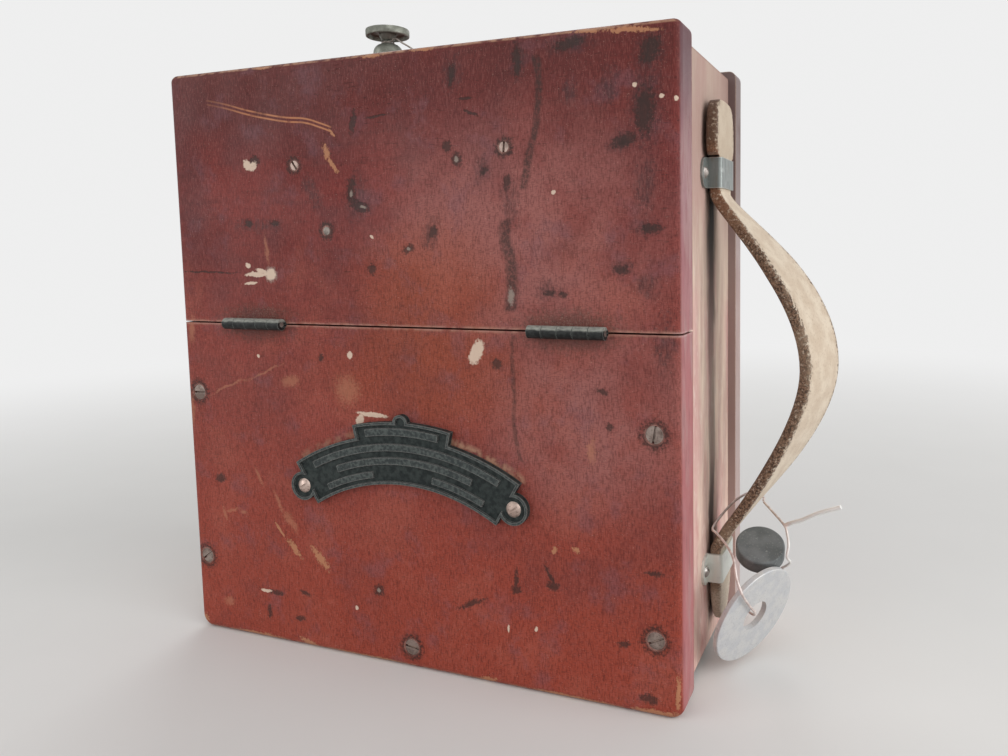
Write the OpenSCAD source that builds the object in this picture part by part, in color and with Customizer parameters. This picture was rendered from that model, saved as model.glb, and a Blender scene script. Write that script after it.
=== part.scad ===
// Portable ammeter in an upright mahogany case.
// The dial is behind a hinged lid in the upper half of the front, the moving-coil movement is
// behind the fixed lower panel. A leather strap is held to the right wall by two metal clips.
// Frame: +X to the right of the front, +Y from the front to the back, +Z up. The origin is on
// the table plane, under the middle of the case.

/* [Case] */
// Width of the front and back boards
case_w = 199; // [190:1:210]
// Height of the case
case_h = 216; // [212:1:225]
// Depth of the case, front face to back face
case_d = 96; // [92:1:106]
// Thickness of the front boards
front_t = 13; // [12:0.5:15]
// Thickness of the back board
back_t = 12.5; // [11:0.5:15]
// How far the front and back boards stand out past the walls
overhang = 3; // [2:0.5:4]
// Thickness of the four walls
wall_t = 10; // [9:0.5:12]
// Rounding of the outer arrises of the boards
arris_r = 2.6; // [1:0.1:2.7]
// Radius of the boards' upper corners, seen from the front
corner_r = 2.8; // [2.8:0.2:5]
// Radius of the boards' lower corners, which are more worn
foot_corner_r = 5; // [2.8:0.2:7]

/* [Lid and hinges] */
// Height of the seam between lid and lower panel
seam_z = 122.8; // [118:0.5:126]
// Width of the seam
seam_gap = 0.6; // [0.5:0.1:1]
// Length of one hinge
hinge_len = 26.4; // [24:0.2:34]
// Distance of each hinge's middle from the middle of the case
hinge_x = 62.6; // [55:0.2:68]
// Radius of the hinge barrel
barrel_r = 2.1; // [1.8:0.1:2.4]
// Radius of the hinge pin
hinge_pin_r = 0.9; // [0.7:0.1:1.1]
// Play between the pin and the lid's knuckles
hinge_play = 0.05; // [0.03:0.01:0.1]

/* [Strap handle] */
// Middle of the strap, measured from the middle of the case's depth
strap_y = 5.5; // [3:0.5:7]
// Thickness of the leather
strap_t = 3.8; // [3:0.1:4.2]
// Width of the strap in the clips
strap_neck_w = 19; // [17:0.5:21]
// Width of the strap at the top of its arch
strap_w = 27; // [24:1:30]
// How far the arch stands out from the wall, to the middle of the leather
strap_reach = 38.2; // [32:0.5:44]
// Turn of the strap at the top of its arch, in degrees
strap_turn = 17; // [0:1:18]
// Height of the clips along the strap
clip_h = 10.4; // [9:0.2:12]
// Thickness of the clips' sheet
clip_t = 0.9; // [0.7:0.1:1.2]

/* [Terminals] */
// Distance of each terminal from the middle of the case
terminal_x = 34; // [30:1:38]
// Radius of the thumb nut
nut_r = 8.6; // [7.6:0.2:10]
// Radius of the terminal's column
column_r = 5.8; // [5:0.1:6.4]

/* [Movement] */
// Height of the pointer's axis
pivot_z = 92; // [90:0.5:94]
// Radius of the iron core
core_r = 13; // [12.5:0.1:13.2]
// Radius of the bore between the pole shoes
bore_r = 16; // [15.8:0.1:17]
// Length of the pointer from its axis
pointer_len = 84; // [76:1:88]
// Angle of the pointer at zero, to the left of upright
rest_angle = 42; // [38:1:43]

/* [Hidden] */
$fn = 48;
eps = 0.01;
yf = -case_d / 2;                     // front face
yb = case_d / 2;                      // back face
yi = yf + front_t;                    // inner face of the front boards
yr = yb - back_t;                     // inner face of the back board
wx = case_w / 2 - overhang;           // outer face of the side walls
ix = wx - wall_t;                     // inner face of the side walls
wz0 = overhang;                       // outer face of the bottom wall
wz1 = case_h - overhang;              // outer face of the top wall
iz1 = wz1 - wall_t;
lid_z0 = seam_z + seam_gap / 2;
panel_z1 = seam_z - seam_gap / 2;
hinge_y = yf - barrel_r - 0.1;        // axis of the lid
leaf_t = 0.85;
leaf_y1 = yi - 1.5;
knuckles = 5;
panel_screw_at = [[3.2 - wx, 95.4], [2.3 - wx, 29.8], [-0.3, 7.8], [wx - 6, 91.6], [wx - 6, 25.4]];
batten_z0 = case_h - 42;
batten_h = 13.5;
batten_w = case_w - 89;
lid_screw_at = [[-42.3, batten_z0 + 5.8], [41.2, batten_z0 + 7.7]];
lid_brad_z = batten_z0 - 17.6;
back_screw_z = [25, case_h / 2, case_h - 26];
scale_y0 = yi + 5;                    // front of the scale panel
scale_y1 = scale_y0 + 6;              // back of the scale panel
glass_t = 2;
rail_z0 = seam_z - 16.8;
rail_z1 = seam_z - 6.8;
dial_y0 = scale_y1 + 7.5;             // front of the dial plate
dial_t = 1;
win_r1 = iz1 - pivot_z - 11;          // window, seen from the pointer's axis
win_r0 = win_r1 - 36;
win_a = min(46, asin((ix - 8) / (win_r1 + 3.5)) - 3.2);
mag_y0 = dial_y0 + 2.5;               // front of magnet and pole shoes
mag_t = 16;
mag_y1 = mag_y0 + mag_t;
mag_x0 = 28;
mag_x1 = 48;
mag_z0 = pivot_z - 26;                // where the bend of the magnet starts
mag_z1 = pivot_z + 18;
shoe_z0 = pivot_z - 18;
coil_in = core_r + 0.5;
former_t = 0.4;
wind_t = 1;
coil_y0 = mag_y0 - 1.2;               // inside of the coil's front end
coil_y1 = mag_y1 + 1.2;
wind_r = coil_in + former_t + wind_t; // outside of the winding
wind_y0 = coil_y0 - former_t - wind_t;
wind_y1 = coil_y1 + former_t + wind_t;
staff_r = 0.5;
bridge_y0 = mag_y0 - 11;              // face of the front bridge towards the magnet
bridge_y1 = mag_y1 + 10;              // face of the rear bridge towards the magnet
bridge_x = 21;
jewel_y0 = bridge_y0 + 2;             // mouths of the two jewel screws
jewel_y1 = bridge_y1 - 1.6;
pillar_at = [[-38, mag_z0 + 6], [38, mag_z0 + 6], [0, mag_z0 - 38]];
stud_r = 3;
post_stud_r = 1.6;
column_z1 = wz1 + 18.4;
nut_z0 = column_z1 + 1.5;
nut_z1 = wz1 + 24.2;
nut_rim = 3;                          // height of the nut's rim
neck_x = wx + 1.4 + strap_t / 2;      // middle of the leather where it lies in the clips
apex_x = wx + strap_reach;
clip_z_low = 28;
clip_z_high = case_h - 47;
clip_pad = 6.8;                       // flat ear of a clip, along Y
clip_w = strap_neck_w + 2 * (0.1 + clip_t + clip_pad);
washer_c = [wx + 18.7, -10, 20.4];        // middle of the washer's outer face
washer_turn = [0, 108.8, -29.3];
washer_r = 18.7;
washer_hole_r = 5.8;
washer_t = 2;
disc_c = [wx + 19.1, -1.6, 43.1];           // middle of the disc's upper face
disc_turn = [0, 28.4, -78];
disc_r = 8.6;
disc_t = 5.5;
wire_r = 0.45;
// the tie wire goes round the strap, through the washer and up past the disc to where it is
// twisted; its points are measured from the face of the right wall
tie_loop = [[17.5, 14.5, 54], [16.9, 18.5, 53.8], [11.9, 18.7, 55], [7.5, 12, 53.6], [4.1, 4, 50.4],
    [2.2, -3, 47.6], [4.2, -5.5, 46.7], [7.3, -9, 45.6], [10.7, -14, 44.2], [13.1, -19, 42.6],
    [14.7, -23, 38.6], [16.9, -24.4, 33.8], [18.1, -18.8, 28], [19.1, -12.8, 22.8], [17.9, -9.4, 20.4],
    [15.5, -7, 21.6], [19.5, -5.2, 26.9], [23.9, -0.1, 31.3], [24.7, 0.2, 33.3], [29.5, -1.9, 37.6],
    [28.7, -4, 40.5], [29.1, -3, 44.4], [28.4, -0.6, 47], [27, 2, 49.6], [21.9, 9, 51.7],
    [17.8, 14.6, 53.2]];
tie_tail = [[27, 2, 49.6], [30, 1, 51.4], [33.4, 0, 53.1], [39.1, -2, 56.8], [46.5, -4, 60.3]];

// helpers: a child drawn along +Z is turned to face a side of the case
module to_front(x, y, z) translate([x, y, z]) rotate([90, 0, 0]) children();
module to_back(x, y, z) translate([x, y, z]) rotate([-90, 0, 0]) children();
module to_right(x, y, z) translate([x, y, z]) rotate([0, 90, 0]) children();
module both_sides() {
    children();
    mirror([1, 0, 0]) children();
}

// what is cut from a square corner at the origin to round it
module corner_cut(r) difference() {
    translate([-1, -1]) square([r + 1, r + 1]);
    translate([r, r]) circle(r);
}

// rectangle from the origin with rounded corners; each flag rounds one corner
module rounded_rect(w, h, r, sw = 1, se = 1, ne = 1, nw = 1) difference() {
    square([w, h]);
    if (sw) corner_cut(r);
    if (se) translate([w, 0]) mirror([1, 0]) corner_cut(r);
    if (ne) translate([w, h]) mirror([1, 0]) mirror([0, 1]) corner_cut(r);
    if (nw) translate([0, h]) mirror([0, 1]) corner_cut(r);
}

// places something at the middles of the two rounded corners at height z; up is 1 at a board's top
module at_corners(z, up, r) for (s = [0, 1])
    translate([(2 * s - 1) * (case_w / 2 - r), 0, up == 1 ? z - r : z + r])
        mirror([1 - s, 0, 0]) mirror([0, 0, 1 - up]) children();

// a board from z0 to z1 whose front arrises are rounded; an end with a radius gets rounded corners
module faced_board(z0, z1, thick, low_r, high_r) {
    ends = [[z0, 0, low_r], [z1, 1, high_r]];
    difference() {
        intersection() {
            translate([-case_w / 2, 0, z0])
                linear_extrude(z1 - z0) rounded_rect(case_w, thick, arris_r, 1, 1, 0, 0);
            translate([-case_w / 2 - 1, 0, z0]) rotate([90, 0, 90])
                linear_extrude(case_w + 2) rounded_rect(thick, z1 - z0, arris_r, low_r, 0, 0, high_r);
        }
        for (e = ends) if (e[2] > 0)
            at_corners(e[0], e[1], e[2]) translate([0, -1, 0]) cube([e[2] + 1, thick + 2, e[2] + 1]);
    }
    for (e = ends) if (e[2] > 0) at_corners(e[0], e[1], e[2]) rotate([-90, 0, 0]) mirror([0, 1, 0])
        rotate_extrude(angle = 90, $fn = 48) rounded_rect(e[2], thick, arris_r, 0, 1, 0, 0);
}

// countersunk slotted screw, its head's top at the origin and its shank down -Z
module flat_screw(head_r, shank_r, length, turn = 0) rotate([0, 0, turn]) difference() {
    union() {
        cylinder(h = 0.3, r = head_r);
        translate([0, 0, shank_r - head_r]) cylinder(h = head_r - shank_r, r1 = shank_r, r2 = head_r);
        translate([0, 0, -length]) cylinder(h = length, r = shank_r);
    }
    translate([-head_r - 1, -0.4, -0.5]) cube([2 * head_r + 2, 0.8, 2]);
}

// the hole that takes a flat_screw
module flat_hole(head_r, shank_r, length, play = 0.05) {
    cylinder(h = 5, r = head_r + play);
    translate([0, 0, shank_r - head_r])
        cylinder(h = head_r - shank_r + eps, r1 = shank_r + play, r2 = head_r + play);
    translate([0, 0, -length - 0.1]) cylinder(h = length + 0.2, r = shank_r + play);
}

// round-headed slotted screw, the underside of its head at the origin
module round_screw(head_r, head_h, shank_r, length, turn = 0) rotate([0, 0, turn]) difference() {
    union() {
        rotate_extrude() intersection() {
            square([head_r, head_h]);
            translate([0, head_h - dome_r(head_r, head_h)]) circle(dome_r(head_r, head_h), $fn = 96);
        }
        translate([0, 0, -length]) cylinder(h = length + 0.1, r = shank_r);
    }
    translate([-head_r - 1, -0.35, head_h - 0.6]) cube([2 * head_r + 2, 0.7, 2]);
}
function dome_r(a, h) = (a * a + h * h) / (2 * h);

// part of a ring in the plane of the front, between two radii and within an angle of upright
module ring_sector(r0, r1, a) difference() {
    circle(r1, $fn = 144);
    circle(r0, $fn = 144);
    sector_rest(r1 + 2, a);
}
// everything more than the angle a from upright
module sector_rest(r, a) {
    polygon([[0, 0], [r * 2 * sin(a), r * 2 * cos(a)], [r * 3, 0], [r * 3, -r * 3], [0, -r * 3]]);
    polygon([[0, 0], [-r * 2 * sin(a), r * 2 * cos(a)], [-r * 3, 0], [-r * 3, -r * 3], [0, -r * 3]]);
}

// smooth route through given points, with n steps in each stretch
function smooth(p, n) = [for (i = [0 : len(p) - 2]) for (k = [0 : n - 1])
    let (a = p[max(i - 1, 0)], b = p[i], c = p[i + 1], d = p[min(i + 2, len(p) - 1)], t = k / n)
    b + 0.5 * t * ((c - a) + t * ((2 * a - 5 * b + 4 * c - d) + t * (3 * b - a - 3 * c + d)))];

// faces of a skin over n rings of k points each, closed at both ends
function skin(n, k) = concat(
    [for (i = [0 : n - 2], j = [0 : k - 1]) let (a = i * k + j, b = i * k + (j + 1) % k)
        each [[a, b, b + k], [a, b + k, a + k]]],
    [[for (j = [k - 1 : -1 : 0]) j], [for (j = [0 : k - 1]) (n - 1) * k + j]]);

// round wire along a list of points
function unit(v) = v / norm(v);
function heading(p, i) = unit(p[min(i + 1, len(p) - 1)] - p[max(i - 1, 0)]);
function carried(p, u, i = 0) = i == len(p) ? [] :
    let (t = heading(p, i), w = unit(u - (u * t) * t)) concat([w], carried(p, w, i + 1));
module wire(p, r, k = 10) {
    u = carried(p, [0.36, 0.48, 0.8]);
    rings = [for (i = [0 : len(p) - 1], j = [0 : k - 1])
        p[i] + r * (cos(360 * j / k) * u[i] + sin(360 * j / k) * cross(u[i], heading(p, i)))];
    polyhedron(rings, skin(len(p), k));
}

// wooden case
module back_board() color([0.42, 0.14, 0.1]) difference() {
    translate([0, yb, 0]) mirror([0, 1, 0]) faced_board(0, case_h, back_t, foot_corner_r, corner_r);
    at_back_screws() flat_hole(3, 1.5, 30);
    for (p = pillar_at) to_back(p[0], yr - 1, p[1]) cylinder(h = 9, r = 2.05);
}
module at_back_screws() {
    for (s = [-1, 1], z = back_screw_z) to_back(s * (wx - 5), yb - 0.5, z) children();
    for (z = [8, case_h - 8]) to_back(0, yb - 0.5, z) children();
}
module back_screws() color([0.45, 0.44, 0.42]) at_back_screws() flat_screw(3, 1.5, 28, 20);

module front_panel() color([0.45, 0.14, 0.1]) difference() {
    translate([0, yf, 0]) faced_board(0, panel_z1, front_t, foot_corner_r, 0);
    for (p = panel_screw_at) to_front(p[0], yf + 0.5, p[1]) flat_hole(2.85, 1.4, 30);
    at_nameplate_screws(0) cylinder(h = 16, r = 1.15, center = true);
    for (s = [-1, 1]) translate([s * hinge_x - hinge_len / 2 - 0.1, yf - 1, seam_z - 0.05 - leaf_t])
        cube([hinge_len + 0.2, leaf_y1 - yf + 1.1, 3]);
    at_hinge_screws(0) cylinder(h = 22, r = 0.85, center = true);
}
module lid() color([0.4, 0.12, 0.09]) difference() {
    translate([0, yf, 0]) faced_board(lid_z0, case_h, front_t, 0, corner_r);
    for (p = lid_screw_at) to_front(p[0], yf + 0.4, p[1]) flat_hole(1.7, 1.1, 14);
    to_front(-29.4, yf + 4, lid_brad_z) cylinder(h = 12, r = 1.45, center = true);
    for (s = [-1, 1]) translate([s * hinge_x - hinge_len / 2 - 0.1, yf - 1, seam_z + 0.05 + leaf_t - 3])
        cube([hinge_len + 0.2, leaf_y1 - yf + 1.1, 3]);
    at_hinge_screws(0) cylinder(h = 22, r = 0.85, center = true);
}
module left_wall() color([0.5, 0.24, 0.17])
    translate([-wx, yi, wz0]) side_wall(0);
module right_wall() color([0.62, 0.42, 0.34])
    translate([ix, yi, wz0]) side_wall(1);
module side_wall(right) difference() {
    cube([wall_t, yr - yi, wz1 - wz0]);
    for (p = panel_screw_at) if (p[0] * (right - 0.5) > 0 && abs(p[0]) > 50)
        to_front(p[0] + (right ? -ix : wx), -1, p[1] - wz0) translate([0, 0, -24])
            cylinder(h = 24, r = 1.45);
    for (z = back_screw_z)
        to_back((right ? wx - 5 - ix : 5), yr - yi - 18, z - wz0) cylinder(h = 20, r = 1.55);
    if (right) translate([-ix, -yi, -wz0]) at_clip_screws() cylinder(h = 20, r = 1.05, center = true);
}
module top_wall() color([0.5, 0.24, 0.17]) difference() {
    translate([-ix, yi, iz1]) cube([2 * ix, yr - yi, wall_t]);
    for (s = [-1, 1]) translate([s * terminal_x, 0, iz1 - 1]) cylinder(h = wall_t + 2, r = 5.05);
    to_back(0, yr - 18, case_h - 8) cylinder(h = 20, r = 1.55);
}
module bottom_wall() color([0.5, 0.24, 0.17]) difference() {
    translate([-ix, yi, wz0]) cube([2 * ix, yr - yi, wall_t]);
    to_back(0, yr - 18, 8) cylinder(h = 20, r = 1.55);
    to_front(-0.3, yi - 1, 7.8) translate([0, 0, -24]) cylinder(h = 24, r = 1.45);
}

module panel_screws() color([0.4, 0.38, 0.34])
    for (i = [0 : 4]) to_front(panel_screw_at[i][0], yf + 0.5, panel_screw_at[i][1])
        flat_screw(2.85, 1.4, 28, [2, 35, 172, 80, 27][i]);

// lid and what is on it
module lid_batten() color([0.45, 0.22, 0.15]) difference() {
    translate([-batten_w / 2, yi, batten_z0]) cube([batten_w, 2.8, batten_h]);
    for (p = lid_screw_at) to_front(p[0], yi, p[1]) cylinder(h = 20, r = 1.25, center = true);
}
module lid_screws() color([0.45, 0.4, 0.34])
    for (p = lid_screw_at) to_front(p[0], yf + 0.4, p[1]) flat_screw(1.7, 1.1, 14.8, p[0] > 0 ? 85 : 124);
module lid_brad() color([0.4, 0.38, 0.35]) to_front(-29.4, yf + 9.5, lid_brad_z) cylinder(h = 9.5, r = 1.4);

// hinges: five knuckles, the first, third and fifth on the panel's leaf
module at_hinge_screws(lift) for (s = [-1, 1], dx = [-9.5, 0, 9.5])
    translate([s * hinge_x + dx, yf + 6.2, seam_z + lift]) children();
module hinge_leaves(side) for (s = [-1, 1]) translate([s * hinge_x - hinge_len / 2, hinge_y, seam_z]) {
    k = hinge_len / knuckles;
    difference() {
        union() {
            translate([0, 0, side > 0 ? 0.05 : -0.05 - leaf_t]) cube([hinge_len, leaf_y1 - hinge_y, leaf_t]);
            for (i = [0 : knuckles - 1]) if ((i % 2 == 0) == (side < 0))
                translate([i * k + 0.1, 0, 0]) rotate([0, 90, 0]) cylinder(h = k - 0.2, r = barrel_r);
        }
        for (i = [0 : knuckles - 1]) if ((i % 2 == 0) != (side < 0))
            translate([i * k - 0.1, -barrel_r - 1, -3]) cube([k + 0.2, 2 * barrel_r + 1.3, 6]);
        translate([-1, 0, 0]) rotate([0, 90, 0])
            cylinder(h = hinge_len + 2, r = hinge_pin_r + (side > 0 ? hinge_play : 0.01));
        for (dx = [-9.5, 0, 9.5]) translate([hinge_len / 2 + dx, yf + 6.2 - hinge_y, side * (0.05 + leaf_t)])
            mirror([0, 0, side > 0 ? 0 : 1]) translate([0, 0, -leaf_t]) mirror([0, 0, 1])
                flat_hole(1.5, 0.8, 4, 0.04);
    }
}
module hinge_panel_leaves() color([0.2, 0.22, 0.2]) hinge_leaves(-1);
module hinge_lid_leaves() color([0.2, 0.22, 0.2]) hinge_leaves(1);
module hinge_pins() color([0.3, 0.3, 0.28])
    for (s = [-1, 1]) to_right(s * hinge_x - hinge_len / 2 + 0.1, hinge_y, seam_z)
        cylinder(h = hinge_len - 0.2, r = hinge_pin_r);
module hinge_panel_screws() color([0.5, 0.48, 0.4])
    at_hinge_screws(-0.06) hinge_screw();
module hinge_lid_screws() color([0.5, 0.48, 0.4])
    at_hinge_screws(0.06) mirror([0, 0, 1]) hinge_screw();
module hinge_screw() difference() {
    union() {
        translate([0, 0, -0.7]) cylinder(h = 0.7, r1 = 0.8, r2 = 1.5);
        translate([0, 0, -9]) cylinder(h = 9, r = 0.8);
    }
    translate([-2, -0.2, -0.3]) cube([4, 0.4, 1]);
}

// cast plate with a raised rim and plain raised bars
module plate_outline(in) translate([-0.5, -2]) {
    ring_sector(69.8 + in, 87 - in, 31.5 - in * 0.7);
    ring_sector(80, 91.8 - in, 12.5 - in * 0.6);
    for (s = [-1, 1]) rotate(s * 33.2) translate([0, 78.2]) circle(5.3 - in);
    translate([0, 91.6]) circle(2.9 - in);
}
module nameplate() color([0.2, 0.24, 0.22]) difference() {
    union() {
        to_front(0, yf, 0) linear_extrude(1.5) plate_outline(0);
        to_front(0, yf, 0) linear_extrude(2.3) difference() {
            plate_outline(0);
            plate_outline(0.9);
        }
        to_front(-0.5, yf, -2) linear_extrude(2.1) {
            ring_sector(87.1, 89.6, 9.6);
            ring_sector(81.6, 84, 27);
            ring_sector(76.8, 79.2, 20.5);
            for (s = [-1, 1]) rotate(s * 17.5) ring_sector(72.2, 74.4, 8);
        }
    }
    at_nameplate_screws(0) cylinder(h = 16, r = 1.15, center = true);
}
module at_nameplate_screws(lift) for (s = [-1, 1])
    to_front(-0.5 - s * 78.2 * sin(33.2), yf - lift, -2 + 78.2 * cos(33.2)) children();
module nameplate_screws() color([0.62, 0.45, 0.38])
    at_nameplate_screws(1.5) round_screw(2.7, 1.2, 1.1, 9, 35);

// leather strap: flat in the clips, arched and slightly turned between them
function bez(p, t) = pow(1 - t, 3) * p[0] + 3 * pow(1 - t, 2) * t * p[1] + 3 * (1 - t) * t * t * p[2]
    + t * t * t * p[3];
arch_z0 = clip_z_low + 11.5;
arch_z1 = clip_z_high - 1.5;
arch_z = (arch_z0 + arch_z1) / 2 + 3;
arch_low = [[neck_x, arch_z0], [neck_x, arch_z0 + 5], [apex_x, arch_z - 26], [apex_x, arch_z]];
arch_high = [[apex_x, arch_z], [apex_x, arch_z + 30], [neck_x, arch_z1 - 6], [neck_x, arch_z1]];
// one station is [x, z, width, thickness]
arch_stations = [for (i = [1 : 31]) let (c = i < 16 ? bez(arch_low, i / 16) : bez(arch_high, (i - 16) / 16),
        s = (c[0] - neck_x) / (apex_x - neck_x))
    [c[0], c[1], strap_neck_w + (strap_w - strap_neck_w) * min(1, 1.6 * s), strap_t]];
tail_stations = [for (i = [0 : 4])
    [neck_x, clip_z_low - 17 + 3.4 * i, 8 + 11 * sin(90 * i / 4), 2.6 + (strap_t - 2.6) * i / 4]];
neck_low = [for (z = [clip_z_low - 0.6, arch_z0]) [neck_x, z, strap_neck_w, strap_t]];
neck_high = [for (z = [arch_z1, clip_z_high + clip_h + 0.8]) [neck_x, z, strap_neck_w, strap_t]];
tongue_stations = [for (i = [0 : 7]) let (t = i / 7, w = 8 + 23 * sqrt(max(0, 1 - pow(t, 3))))
    [neck_x, clip_z_high + (i == 0 ? clip_h + 1.4 : 15 + 15.4 * sin(90 * t)), i == 0 ? 29 : w, strap_t]];
stations = concat(tail_stations, neck_low, arch_stations, neck_high, tongue_stations);
function tangent(i) = let (a = stations[max(i - 1, 0)], b = stations[min(i + 1, len(stations) - 1)],
    v = [b[0] - a[0], b[1] - a[1]]) v / norm(v);
function strap_ring(i) = let (s = stations[i], t = tangent(i), n = [t[1], 0, -t[0]],
        a = strap_turn * max(0, (s[0] - neck_x) / (apex_x - neck_x)),
        w = [0, cos(a), 0] + n * sin(a), m = n * cos(a) - [0, sin(a), 0],
        c = [s[0], strap_y, s[1]], hw = s[2] / 2, ht = s[3] / 2, b = 0.7)
    [for (q = [[-hw + b, -ht], [hw - b, -ht], [hw, -ht + b], [hw, ht - b], [hw - b, ht], [-hw + b, ht],
        [-hw, ht - b], [-hw, -ht + b]]) c + w * q[0] + m * q[1]];
module handle_strap() color([0.72, 0.58, 0.42]) {
    n = len(stations);
    polyhedron([for (i = [0 : n - 1]) each strap_ring(i)], skin(n, 8));
}

// sheet clip, a hat section over the strap with a round-ended ear on each side
module clip(z0) translate([wx, strap_y, z0]) intersection() {
    linear_extrude(clip_h) {
        hump = strap_neck_w / 2 + 0.1 + clip_t;
        high = neck_x + strap_t / 2 - wx + 0.02;
        for (s = [0, 1]) mirror([0, s]) translate([0, hump - 0.5]) square([clip_t, clip_pad + 0.5]);
        difference() {
            translate([0, -hump]) rounded_rect(high + clip_t, 2 * hump, 1.6, 0, 1, 1, 0);
            translate([-1, -hump + clip_t]) rounded_rect(high + 1, 2 * (hump - clip_t), 0.7, 0, 1, 1, 0);
        }
    }
    translate([-1, -clip_w / 2, clip_h]) rotate([0, 90, 0])
        linear_extrude(20) rounded_rect(clip_h, clip_w, 4.6);
}
module handle_clips() color([0.5, 0.54, 0.55]) difference() {
    union() {
        clip(clip_z_low);
        clip(clip_z_high);
    }
    at_clip_screws() cylinder(h = 20, r = 1.05, center = true);
}
module at_clip_screws() for (z = [clip_z_low, clip_z_high], s = [-1, 1])
    to_right(wx + clip_t, strap_y + s * (clip_w / 2 - 3.6), z + clip_h / 2) children();
module clip_screws() color([0.45, 0.42, 0.42]) at_clip_screws() round_screw(2.1, 1.3, 1, 9, 30);

// terminals on the top wall: the left one is complete, the right one has lost its column and nut
module terminal_bushings() color([0.08, 0.08, 0.08]) for (s = [-1, 1]) translate([s * terminal_x, 0, 0])
    difference() {
        union() {
            translate([0, 0, iz1]) cylinder(h = wall_t + 0.1, r = 5);
            translate([0, 0, wz1]) cylinder(h = 2.2, r = 9);
            translate([0, 0, wz1 + 2.2]) cylinder(h = 0.8, r1 = 9, r2 = 8.2);
        }
        translate([0, 0, iz1 - 1]) cylinder(h = wall_t + 6, r = stud_r + 0.02);
    }
module terminal_post() color([0.5, 0.52, 0.47]) translate([-terminal_x, 0, 0]) {
    translate([0, 0, iz1 - 16]) cylinder(h = 20 + wall_t, r = stud_r);
    rotate_extrude($fn = 72) translate([0, wz1 + 3])
        rounded_rect(column_r, column_z1 - wz1 - 3, column_r - 2.2, 0, 0, 1, 0);
    translate([0, 0, column_z1 - 1]) cylinder(h = 5.4, r = post_stud_r);
}
module thumb_nut() color([0.52, 0.54, 0.49]) translate([-terminal_x, 0, 0])
    rotate_extrude($fn = 96) difference() {
    union() {
        translate([0, nut_z1 - nut_rim]) rounded_rect(nut_r, nut_rim, 0.7, 0, 0, 1, 0);
        polygon([[0, nut_z0], [2.4, nut_z0], [3.4, nut_z1 - nut_rim], [3.4, nut_z1 - 1], [0, nut_z1 - 1]]);
    }
    square([post_stud_r + 0.05, nut_z1 - 1.2]);
    polygon([[3.4, nut_z1 - nut_rim - 1], [nut_r - 1, nut_z1 - nut_rim - 1], [nut_r - 1, nut_z1 - 1.6],
        [3.7, nut_z1 - 1.4], [3.4, nut_z1 - 1.8]]);
}
module terminal_wire() color([0.5, 0.36, 0.26]) {
    translate([-terminal_x, 0, column_z1 + 0.5]) rotate_extrude() translate([2.2, 0]) circle(0.45, $fn = 24);
    wire(smooth([[-terminal_x + 2.1, -1, column_z1 + 0.5], [-terminal_x + 4.6, -1.6, column_z1 + 1.6],
        [-terminal_x + 7.5, -1.5, column_z1 - 0.3], [-terminal_x + 10, -1, column_z1 - 1.8],
        [-terminal_x + 14, 0, column_z1 - 4.5]], 3), 0.35);
}
module bare_stud() color([0.55, 0.45, 0.28]) translate([terminal_x, 0, iz1 - 16]) {
    cylinder(h = 34.4, r = stud_r);
    translate([0, 0, 34.4]) cylinder(h = 0.8, r1 = stud_r, r2 = stud_r - 0.8);
}
module terminal_nuts() color([0.7, 0.56, 0.3])
    for (s = [-1, 1], z = [iz1 - 3.4, iz1 - 14.4]) translate([s * terminal_x, 0, z]) difference() {
        cylinder(h = 3.4, r = 6.2, $fn = 6);
        translate([0, 0, -1]) cylinder(h = 6, r = stud_r + 0.02);
    }

// shunt between the two studs
module shunt_blocks() color([0.72, 0.56, 0.3]) both_sides() difference() {
    translate([terminal_x - 10, -9, iz1 - 11]) cube([20, 18, 7.6]);
    translate([terminal_x, 0, iz1 - 12]) cylinder(h = 12, r = stud_r + 0.02);
}
module shunt_strips() color([0.6, 0.5, 0.42])
    for (y = [-6, 0, 6]) translate([10 - terminal_x, y - 0.4, iz1 - 10.5])
        cube([2 * terminal_x - 20, 0.8, 6.6]);

// inner frame behind the lid
module cross_rail() color([0.48, 0.25, 0.17])
    translate([-ix, yi, rail_z0]) cube([2 * ix, scale_y1 - yi, rail_z1 - rail_z0]);
module side_cleats() color([0.48, 0.25, 0.17]) difference() {
    both_sides() translate([ix - 6, scale_y1, rail_z1]) cube([6, dial_y0 - scale_y1, iz1 - rail_z1]);
    at_scale_screws() cylinder(h = 30, r = 1.05, center = true);
    at_dial_screws() cylinder(h = 30, r = 0.95, center = true);
}
module at_scale_screws() for (s = [-1, 1], z = [rail_z1 + 6, iz1 - 6])
    to_front(s * (ix - 4), scale_y0, z) children();
module at_dial_screws() for (s = [-1, 1], z = [rail_z1 + 15, iz1 - 15])
    to_back(s * (ix - 3.4), dial_y0 + dial_t, z) children();
module scale_panel() color([0.38, 0.13, 0.09]) difference() {
    translate([-ix, scale_y0, rail_z1]) cube([2 * ix, scale_y1 - scale_y0, iz1 - rail_z1]);
    to_front(0, scale_y1 + 1, pivot_z) linear_extrude(20) ring_sector(win_r0, win_r1, win_a);
    to_front(0, scale_y1 + 1, pivot_z) linear_extrude(glass_t + 1)
        ring_sector(win_r0 - 3, win_r1 + 3, win_a + 2.5);
    at_scale_screws() cylinder(h = 30, r = 1.05, center = true);
}
module scale_panel_screws() color([0.72, 0.58, 0.32]) at_scale_screws() round_screw(2.3, 1.3, 1, 12, 40);
module bezel() color([0.72, 0.58, 0.32]) to_front(0, scale_y0, pivot_z) {
    linear_extrude(0.8) difference() {
        ring_sector(win_r0 - 3.5, win_r1 + 3.5, win_a + 3.2);
        ring_sector(win_r0, win_r1, win_a);
    }
    linear_extrude(1.2) difference() {
        ring_sector(win_r0 - 2.6, win_r1 + 2.6, win_a + 2.4);
        ring_sector(win_r0 - 0.9, win_r1 + 0.9, win_a + 0.8);
    }
}
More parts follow.
